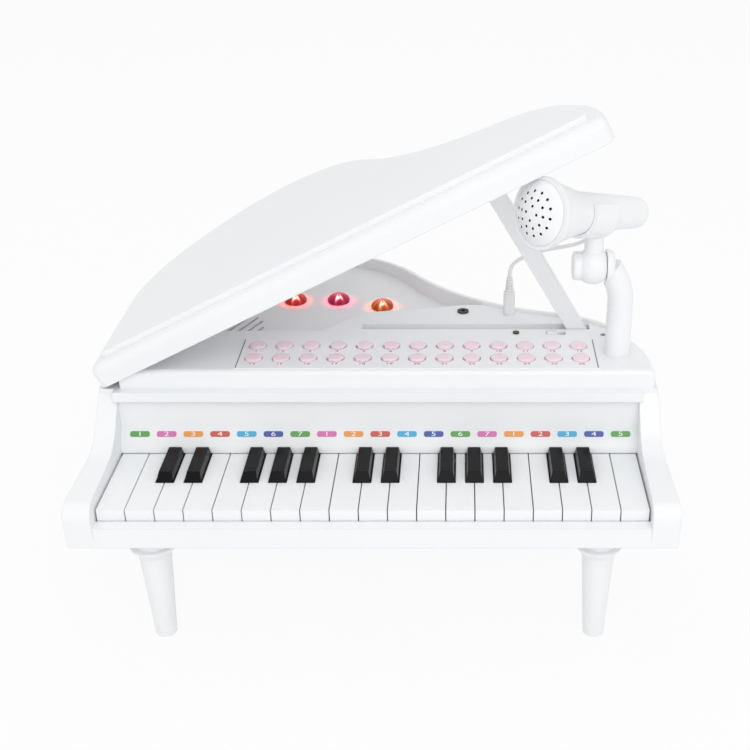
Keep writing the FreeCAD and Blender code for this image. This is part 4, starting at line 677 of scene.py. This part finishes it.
def crowned_cap(work, spot, style, foot, rise):
    """One cap with a rounded crown, from its strip's flange up through the label."""
    levels = [
        (1.0, foot),
        (1.0, LABEL_TOP + 0.45 * rise),
        (0.965, LABEL_TOP + 0.66 * rise),
        (0.89, LABEL_TOP + 0.82 * rise),
        (0.74, LABEL_TOP + 0.91 * rise),
        (0.45, LABEL_TOP + 0.975 * rise),
        (0.15, LABEL_TOP + rise),
    ]
    middle = Vector((spot.x, spot.y, 0))
    rings = []
    for share, level in levels:
        reach = share * BUTTON_RADIUS * MM
        rings.append(ring(middle, lambda angle: reach * cap_reach(style, angle), level, 48))
    loft(work, rings)


class PIANO_OT_buttons(bpy.types.Operator):
    """Build crowned caps, the label's border and plain numbers under the caps"""

    bl_idname = "piano.buttons"
    bl_label = "Dress buttons"

    def execute(self, context):
        sizes = context.scene.piano_sizes
        for node, (first, count, style) in BUTTON_STRIPS.items():
            self.strip(node, button_spots(first, count), style, sizes.cap_rise)
        keep_node("button_label", "Label film")
        self.border(sizes.border_line)
        self.captions(sizes.caption_height)
        return {"FINISHED"}

    def strip(self, node, spots, style, rise):
        """Caps of one outline on their flange."""
        low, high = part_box(node)
        foot = low.z + BUTTON_FLANGE * MM
        work = bmesh.new()
        block(work, low, Vector((high.x, high.y, foot)))
        for _column, _row, spot in spots:
            crowned_cap(work, spot, style, foot, rise)
        mesh = to_mesh(work, node)
        piece(f"{node}_caps", mesh, ["Pink clear styrene"], node, [node], 40.0)

    def border(self, line):
        """Printed lines along the label's two ends."""
        low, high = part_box("button_label")
        lift = LABEL_TOP + BORDER_LIFT * MM
        work = bmesh.new()
        for left in (low.x + line, high.x - 2 * line):
            near = Vector((left, low.y + line, LABEL_TOP))
            block(work, near, Vector((left + line, high.y - line, lift)))
        piece("label_border", to_mesh(work, "label_border"), ["Grey border ink"], "piano")

    def captions(self, height):
        """Plain numbers in front of the caps, the back row first."""
        wide = Matrix.Diagonal((1.5, 1.0, 1.0, 1.0))
        texts = []
        for column, row, spot in button_spots(0, BUTTON_COLUMNS):
            number = column + 1 if row else column + 1 + BUTTON_COLUMNS
            place = Vector((spot.x, spot.y - CAPTION_DROP * MM, LABEL_TOP + CAPTION_LIFT * MM))
            texts.append((str(number), Matrix.Translation(place) @ wide))
        mesh = printed(texts, height, "button_numbers")
        piece("button_numbers", mesh, ["Rose number ink"], "piano")


def sticker_plan(width, height):
    """Outline of a sticker with rounded corners, round its middle."""
    half_wide, half_high = width / 2, height / 2
    corner = 0.8 * half_high
    plan = []
    for quarter, (x, y) in enumerate(((1, 1), (-1, 1), (-1, -1), (1, -1))):
        middle = Vector((x * (half_wide - corner), y * (half_high - corner), 0))
        for step in range(6):
            angle = math.pi / 2 * (quarter + step / 5)
            plan.append(middle + corner * Vector((math.cos(angle), math.sin(angle), 0)))
    return plan


class PIANO_OT_notes(bpy.types.Operator):
    """Stick the coloured note stickers with plain numbers on the rail over the keys"""

    bl_idname = "piano.notes"
    bl_label = "Stick notes"

    def execute(self, context):
        sizes = context.scene.piano_sizes
        inks = ["Green", "Pink", "Orange", "Red", "Blue", "Navy"]
        slope = math.atan2(RAIL_HIGH[1] - RAIL_LOW[1], RAIL_HIGH[0] - RAIL_LOW[0])
        up = RAIL_LOW[1] + (NOTE_BACK - RAIL_LOW[0]) * math.tan(slope)
        tilt = Matrix.Rotation(slope, 4, "X")
        lift = Matrix.Translation((0, 0, sizes.sticker_thickness))
        wide = Matrix.Diagonal((1.7, 1.0, 1.0, 1.0))
        plan = sticker_plan(sizes.sticker_width, sizes.sticker_height)
        work = bmesh.new()
        texts = []
        for note in range(NOTE_COUNT):
            across = NOTE_MIDDLE + (note - (NOTE_COUNT - 1) / 2) * NOTE_PITCH
            place = Matrix.Translation(at(across, NOTE_BACK, up)) @ tilt
            before = len(work.faces)
            loft(work, [[seat @ point for point in plan] for seat in (place, place @ lift)])
            work.faces.ensure_lookup_table()
            for face in work.faces[before:]:
                face.material_index = note % len(inks)
            texts.append((str(note % 7 + 1), place @ lift @ wide))
        finishes = [f"{ink} sticker ink" for ink in inks]
        piece("note_stickers", to_mesh(work, "note_stickers"), finishes, "piano")
        mesh = printed(texts, sizes.numeral_height, "note_numbers")
        piece("note_numbers", mesh, ["White numeral ink"], "piano")
        return {"FINISHED"}


def cut_jewel(name, radius, height):
    """Girdle, crown and table of a cut jewel; each ring turns by half a facet."""
    sides = 16
    levels = ((1.0, 0.0), (1.0, 0.3), (0.86, 0.58), (0.62, 0.82), (0.34, 1.0))
    work = bmesh.new()
    rings = []
    for order, (share, rise) in enumerate(levels):
        turn = math.pi / sides * order
        rings.append(ring(Vector(), share * radius, rise * height, sides, turn))
    loft(work, rings)
    bmesh.ops.triangulate(work, faces=work.faces[:])
    return to_mesh(work, name)


class PIANO_OT_lamps(bpy.types.Operator):
    """Cut three faceted jewels over their lights, and dress the power light"""

    bl_idname = "piano.lamps"
    bl_label = "Light lamps"

    def execute(self, context):
        tints = context.scene.piano_colours
        slope = math.atan2(BOARD_BACK[1] - BOARD_FRONT[1], BOARD_BACK[0] - BOARD_FRONT[0])
        names = ("left", "middle", "right")
        colours = (tints.lamp_left, tints.lamp_middle, tints.lamp_right)
        for name, tint, (across, back) in zip(names, colours, LAMP_SPOTS):
            level = BOARD_FRONT[1] + (back - BOARD_FRONT[0]) * math.tan(slope)
            seat = Matrix.Translation(at(across, back, level)) @ Matrix.Rotation(slope, 4, "X")
            self.jewel(context, name, tint, seat)
            self.halo(context, name, tint, seat)
        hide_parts("lamp_lenses")
        keep_node("lights", "Dark red light resin")
        return {"FINISHED"}

    def jewel(self, context, name, tint, seat):
        """One jewel on the sounding board, with its light inside."""
        sizes = context.scene.piano_sizes
        mesh = cut_jewel(f"{name}_jewel", sizes.lens_radius, sizes.lens_height)
        light = 0.45 * sizes.lens_height
        finish = lit_acrylic(f"{name.capitalize()} lit acrylic", tint, sizes.lens_radius, light)
        mesh.materials.append(finish)
        jewel = bpy.data.objects.new(f"{name}_jewel", mesh)
        context.scene.collection.objects.link(jewel)
        jewel.matrix_world = seat
        jewel.visible_shadow = False
        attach(jewel, "piano")
        return jewel

    def halo(self, context, name, tint, seat):
        """Coloured light that a jewel throws on the board round it."""
        sizes = context.scene.piano_sizes
        lamp = bpy.data.lights.new(f"{name}_lamp_halo", "SPOT")
        lamp.energy = context.scene.piano_studio.lamp_power
        lamp.color = tint[:3]
        lamp.spot_size = 2 * math.atan2(sizes.halo_radius, sizes.halo_height)
        lamp.spot_blend = 1.0
        lamp.shadow_soft_size = 1 * MM
        halo = bpy.data.objects.new(f"{name}_lamp_halo", lamp)
        halo.matrix_world = seat @ Matrix.Translation((0, 0, sizes.halo_height))
        context.scene.collection.objects.link(halo)


class PIANO_OT_fittings(bpy.types.Operator):
    """Dress the power switch, the sockets and the small deck screws"""

    bl_idname = "piano.fittings"
    bl_label = "Dress deck fittings"

    def execute(self, context):
        sizes = context.scene.piano_sizes
        knob = "power_switch_knob"
        mesh = softened(knob, sizes.knob_edge)
        piece("switch_slider", mesh, ["White polished ABS"], "power_switch", [knob])
        mesh = softened("jack_sockets", 0.0)
        finishes = ["Black moulded nylon", "White soft sheath"]
        sockets = piece("deck_sockets", mesh, finishes, "piano", ["jack_sockets"])
        plugged = (PLUG[0] - SOCKET_REACH) * MM
        for polygon in sockets.data.polygons:
            polygon.material_index = 1 if polygon.center.x > plugged else 0
        work = bmesh.new()
        # A pan head with a recess, as shares of its radius and heights in millimetres.
        levels = ((1.0, -0.2), (1.0, 0.25), (0.8, 0.5), (0.35, 0.55), (0.3, 0.1))
        for across, back in DECK_SCREWS:
            spot = Vector((across * MM, KEY_FRONT + back * MM, DECK))
            loft(work, [ring(spot, share * sizes.screw_radius, up * MM, 18) for share, up in levels])
        piece("deck_screws", to_mesh(work, "deck_screws"), ["Zinc plated steel"], "piano")
        return {"FINISHED"}


def mic_matrix():
    """Placement with +Z along the microphone, over its tilting hub."""
    turn, lift = math.radians(MIC_TURN), math.radians(MIC_RAISE)
    ahead = Vector((-math.cos(turn) * math.cos(lift), -math.sin(turn) * math.cos(lift), math.sin(lift)))
    side = Vector((0, 0, 1)).cross(ahead).normalized()
    up = ahead.cross(side)
    turned = Matrix((side, up, ahead)).transposed().to_4x4()
    hub = Vector(JOINTS["mic_tilt"]["pos_m"])
    return Matrix.Translation(hub + Vector((0, 0, MIC_HEIGHT * MM))) @ turned


class PIANO_OT_microphone(bpy.types.Operator):
    """Dress the microphone, its clip and its stand"""

    bl_idname = "piano.microphone"
    bl_label = "Dress microphone"

    def execute(self, context):
        for name, node, body in (
            ("mic_body", "mic_handle", "microphone"),
            ("mic_holder", "mic_clip", "microphone"),
            ("mic_arm", "mic_stand", "piano"),
        ):
            piece(name, softened(node, 0.0), ["White polished ABS"], body, [node])
        mesh = softened("mic_grille", 0.0)
        finishes = ["White polished ABS", "Grille shadow black"]
        dome = piece("mic_dome", mesh, finishes, "microphone", ["mic_grille"])
        self.darken_holes(dome.data)
        return {"FINISHED"}

    def darken_holes(self, mesh):
        """Give the floors and walls of the grille's holes their shadow black."""
        ahead = mic_matrix().to_3x3() @ Vector((0, 0, 1))
        rim = mic_matrix() @ Vector((0, 0, MIC_RIM * MM))
        low, high = (level * MM for level in HOLE_FLOOR)
        for polygon in mesh.polygons:
            offset = polygon.center - rim
            level = offset.dot(ahead)
            facing = polygon.normal.dot(ahead)
            floor = facing > 0.999 and low < level < high
            wall = abs(facing) < 0.05 and (offset - level * ahead).length < GRILLE_FIELD * MM
            if floor or wall:
                polygon.material_index = 1


def cord_end():
    """The cord's lead-in to the handle's tail, and the spot that it enters."""
    rim_width, cone, handle, tail_end = 4.0, 32.0, 71.5, 7.0
    front, tail = 15.2, 11.6
    lead_in = 14.0
    place = MIC_RIM - rim_width - cone - handle + 1.9 * tail_end
    taper = (front - tail) / (handle - tail_end)
    radius = tail + 0.9 * tail_end * taper + 0.3
    matrix = mic_matrix()
    away = matrix.to_3x3() @ Vector((-0.8, -0.6, 0.0))
    spot = matrix @ Vector((0, 0, place * MM)) + away * radius * MM
    return [spot + away * lead_in * MM, spot]


def ribbed_plug(base):
    """The plug's grip with its ribbed strain relief, turned round one axis, in millimetres."""
    shoulder = PLUG_BODY + 0.4
    profile = [(4.0, 0.0), (4.6, 0.7), (4.6, PLUG_BODY - 1.2), (4.2, PLUG_BODY), (3.1, shoulder)]
    ribs = 5
    groove = 1.0
    pitch = (PLUG_TOP - shoulder) / ribs
    for rib in range(ribs):
        foot = shoulder + pitch * rib
        wide = 3.3 - 0.9 * rib / ribs
        profile += [(wide - groove, foot), (wide - groove, foot + 0.35 * pitch)]
        profile += [(wide, foot + 0.45 * pitch), (wide, foot + 0.9 * pitch)]
    profile.append((CORD_DIAMETER / 2 + 0.3, PLUG_TOP))
    work = bmesh.new()
    loft(work, [ring(base, radius * MM, up * MM) for radius, up in profile])
    return to_mesh(work, "plug_grip")


def cord_tube(points):
    """A round tube along a smooth curve through the points' cage, and its middle line."""
    line = bpy.data.curves.new("mic_lead", "CURVE")
    line.dimensions = "3D"
    spline = line.splines.new("NURBS")
    spline.points.add(len(points) - 1)
    for control, point in zip(spline.points, points):
        control.co = (*point, 1.0)
    spline.order_u = 3
    spline.use_endpoint_u = True
    line.resolution_u = 10
    holder = bpy.data.objects.new("lead_path", line)
    middle = bpy.data.meshes.new_from_object(holder)
    path = [vertex.co.copy() for vertex in middle.vertices]
    line.bevel_depth = CORD_DIAMETER / 2 * MM
    line.bevel_resolution = 5
    line.use_fill_caps = True
    tube = bpy.data.meshes.new_from_object(holder)
    bpy.data.objects.remove(holder)
    bpy.data.meshes.remove(middle)
    tube.name = "mic_lead"
    tube.materials.clear()
    tube.materials.append(finish_of("White soft sheath"))
    tube.polygons.foreach_set("use_smooth", [True] * len(tube.polygons))
    return tube, path


class PIANO_OT_cord(bpy.types.Operator):
    """Lay the microphone's cord and rib the plug's strain relief"""

    bl_idname = "piano.cord"
    bl_label = "Lay cord"

    def execute(self, context):
        base = Vector((PLUG[0] * MM, KEY_FRONT + PLUG[1] * MM, DECK + PLUG_SEAT * MM))
        piece("plug_grip", ribbed_plug(base), ["White soft sheath"], "piano", ["mic_plug"])
        top = base + Vector((0, 0, PLUG_TOP * MM))
        points = [top + MM * Vector(offset) for offset in CORD_ROUTE]
        tube, path = cord_tube(points + cord_end())
        lead = bpy.data.objects.new("mic_lead", tube)
        context.scene.collection.objects.link(lead)
        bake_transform(lead)
        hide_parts("mic_cord")
        return {"FINISHED"}


class PIANO_OT_stage(bpy.types.Operator):
    """Lay a pale floor, hang soft lights and set the camera"""

    bl_idname = "piano.stage"
    bl_label = "Set stage"

    def execute(self, context):
        studio = context.scene.piano_studio
        mesh = bpy.data.meshes.new("studio_floor")
        far = 8.0
        corners = [(-far, -far, 0), (far, -far, 0), (far, far, 0), (-far, far, 0)]
        mesh.from_pydata(corners, [], [(0, 1, 2, 3)])
        mesh.materials.append(self.floor_finish())
        floor = bpy.data.objects.new("studio_floor", mesh)
        context.scene.collection.objects.link(floor)
        boxes = (
            ("front_box", (0.4, -1.7, 1.6), 1.6, studio.key_power),
            ("low_box", (-0.1, -1.9, 0.5), 1.4, studio.fill_power),
            ("top_box", (-0.3, 0.5, 1.9), 1.6, studio.top_power),
        )
        for name, spot, width, power in boxes:
            self.soft_box(context, name, Vector(spot), width, power)
        self.room(context, studio.world_light)
        camera = bpy.data.cameras.new("photo_camera")
        camera.lens = studio.lens
        camera.sensor_width = 36.0
        camera.shift_x = studio.camera_shift
        view = bpy.data.objects.new("photo_camera", camera)
        view.location = studio.camera_spot
        view.rotation_euler = (studio.camera_tilt, 0, 0)
        context.scene.collection.objects.link(view)
        context.scene.camera = view
        context.scene.view_settings.view_transform = "Standard"
        return {"FINISHED"}

    def soft_box(self, context, name, spot, width, power):
        """A square soft box that looks at the middle of the piano."""
        lamp = bpy.data.lights.new(name, "AREA")
        lamp.size = width
        lamp.energy = power
        soft = bpy.data.objects.new(name, lamp)
        soft.location = spot
        middle = Vector((0, 0, 0.16))
        soft.rotation_euler = (middle - spot).to_track_quat("-Z", "Y").to_euler()
        context.scene.collection.objects.link(soft)

    def floor_finish(self):
        """Matt white board: nearly white to the eye, and still taking the piano's shadow."""
        material, tree = start("Matt white board")
        rays = add(tree, "ShaderNodeLightPath").outputs
        seen = worked(tree, "ADD", rays["Is Camera Ray"], rays["Is Glossy Ray"], clamp=True)
        through = worked(tree, "ADD", seen, rays["Is Transmission Ray"], clamp=True)
        share = worked(tree, "MULTIPLY", through, 0.88)
        board = add(tree, "ShaderNodeBsdfDiffuse", {"Color": linear("F6F6F6")}).outputs["BSDF"]
        white = add(tree, "ShaderNodeEmission", {"Color": (1.0, 1.0, 1.0, 1.0), "Strength": 1.0})
        inputs = {0: share, 1: board, 2: white.outputs["Emission"]}
        mixed = add(tree, "ShaderNodeMixShader", inputs)
        add(tree, "ShaderNodeOutputMaterial", {"Surface": mixed.outputs["Shader"]})
        return material

    def room(self, context, light):
        """White room: white to the camera and through clear pieces, gentler as light."""
        world = bpy.data.worlds.new("White room")
        world.use_nodes = True
        tree = world.node_tree
        tree.nodes.clear()
        rays = add(tree, "ShaderNodeLightPath").outputs
        seen = worked(tree, "ADD", rays["Is Camera Ray"], rays["Is Transmission Ray"], clamp=True)
        span = {"Value": seen, "To Min": light, "To Max": 1.0}
        strength = add(tree, "ShaderNodeMapRange", span).outputs["Result"]
        white = add(tree, "ShaderNodeBackground", {"Color": (1, 1, 1, 1), "Strength": strength})
        add(tree, "ShaderNodeOutputWorld", {"Surface": white.outputs["Background"]})
        context.scene.world = world


class PIANO_PT_dresser(bpy.types.Panel):
    """Sizes, colours and steps of the piano's dressing"""

    bl_idname = "PIANO_PT_dresser"
    bl_label = "Toy piano"
    bl_space_type = "VIEW_3D"
    bl_region_type = "UI"
    bl_category = "Piano"

    def draw(self, context):
        scene = context.scene
        for group in (scene.piano_sizes, scene.piano_colours, scene.piano_studio):
            column = self.layout.column(align=True)
            for name in group.__annotations__:
                column.prop(group, name)
        for operator in OPERATORS:
            self.layout.operator(operator.bl_idname)


GROUPS = (PianoColours, PianoSizes, PianoStudio)
OPERATORS = (
    PIANO_OT_stage,
    PIANO_OT_cord,
    PIANO_OT_shell,
    PIANO_OT_keys,
    PIANO_OT_buttons,
    PIANO_OT_notes,
    PIANO_OT_lamps,
    PIANO_OT_fittings,
    PIANO_OT_microphone,
)


def register():
    """Add the settings, steps and panel to Blender."""
    for item in (*GROUPS, *OPERATORS, PIANO_PT_dresser):
        bpy.utils.register_class(item)
    bpy.types.Scene.piano_colours = PointerProperty(type=PianoColours)
    bpy.types.Scene.piano_sizes = PointerProperty(type=PianoSizes)
    bpy.types.Scene.piano_studio = PointerProperty(type=PianoStudio)


def unregister():
    """Take the settings, steps and panel out of Blender."""
    del bpy.types.Scene.piano_studio
    del bpy.types.Scene.piano_sizes
    del bpy.types.Scene.piano_colours
    for item in reversed((*GROUPS, *OPERATORS, PIANO_PT_dresser)):
        bpy.utils.unregister_class(item)


def main():
    """Add the settings, steps and panel, then run every step in order."""
    register()
    for operator in OPERATORS:
        category, name = operator.bl_idname.split(".")
        getattr(getattr(bpy.ops, category), name)()


if __name__ == "__main__":
    main()
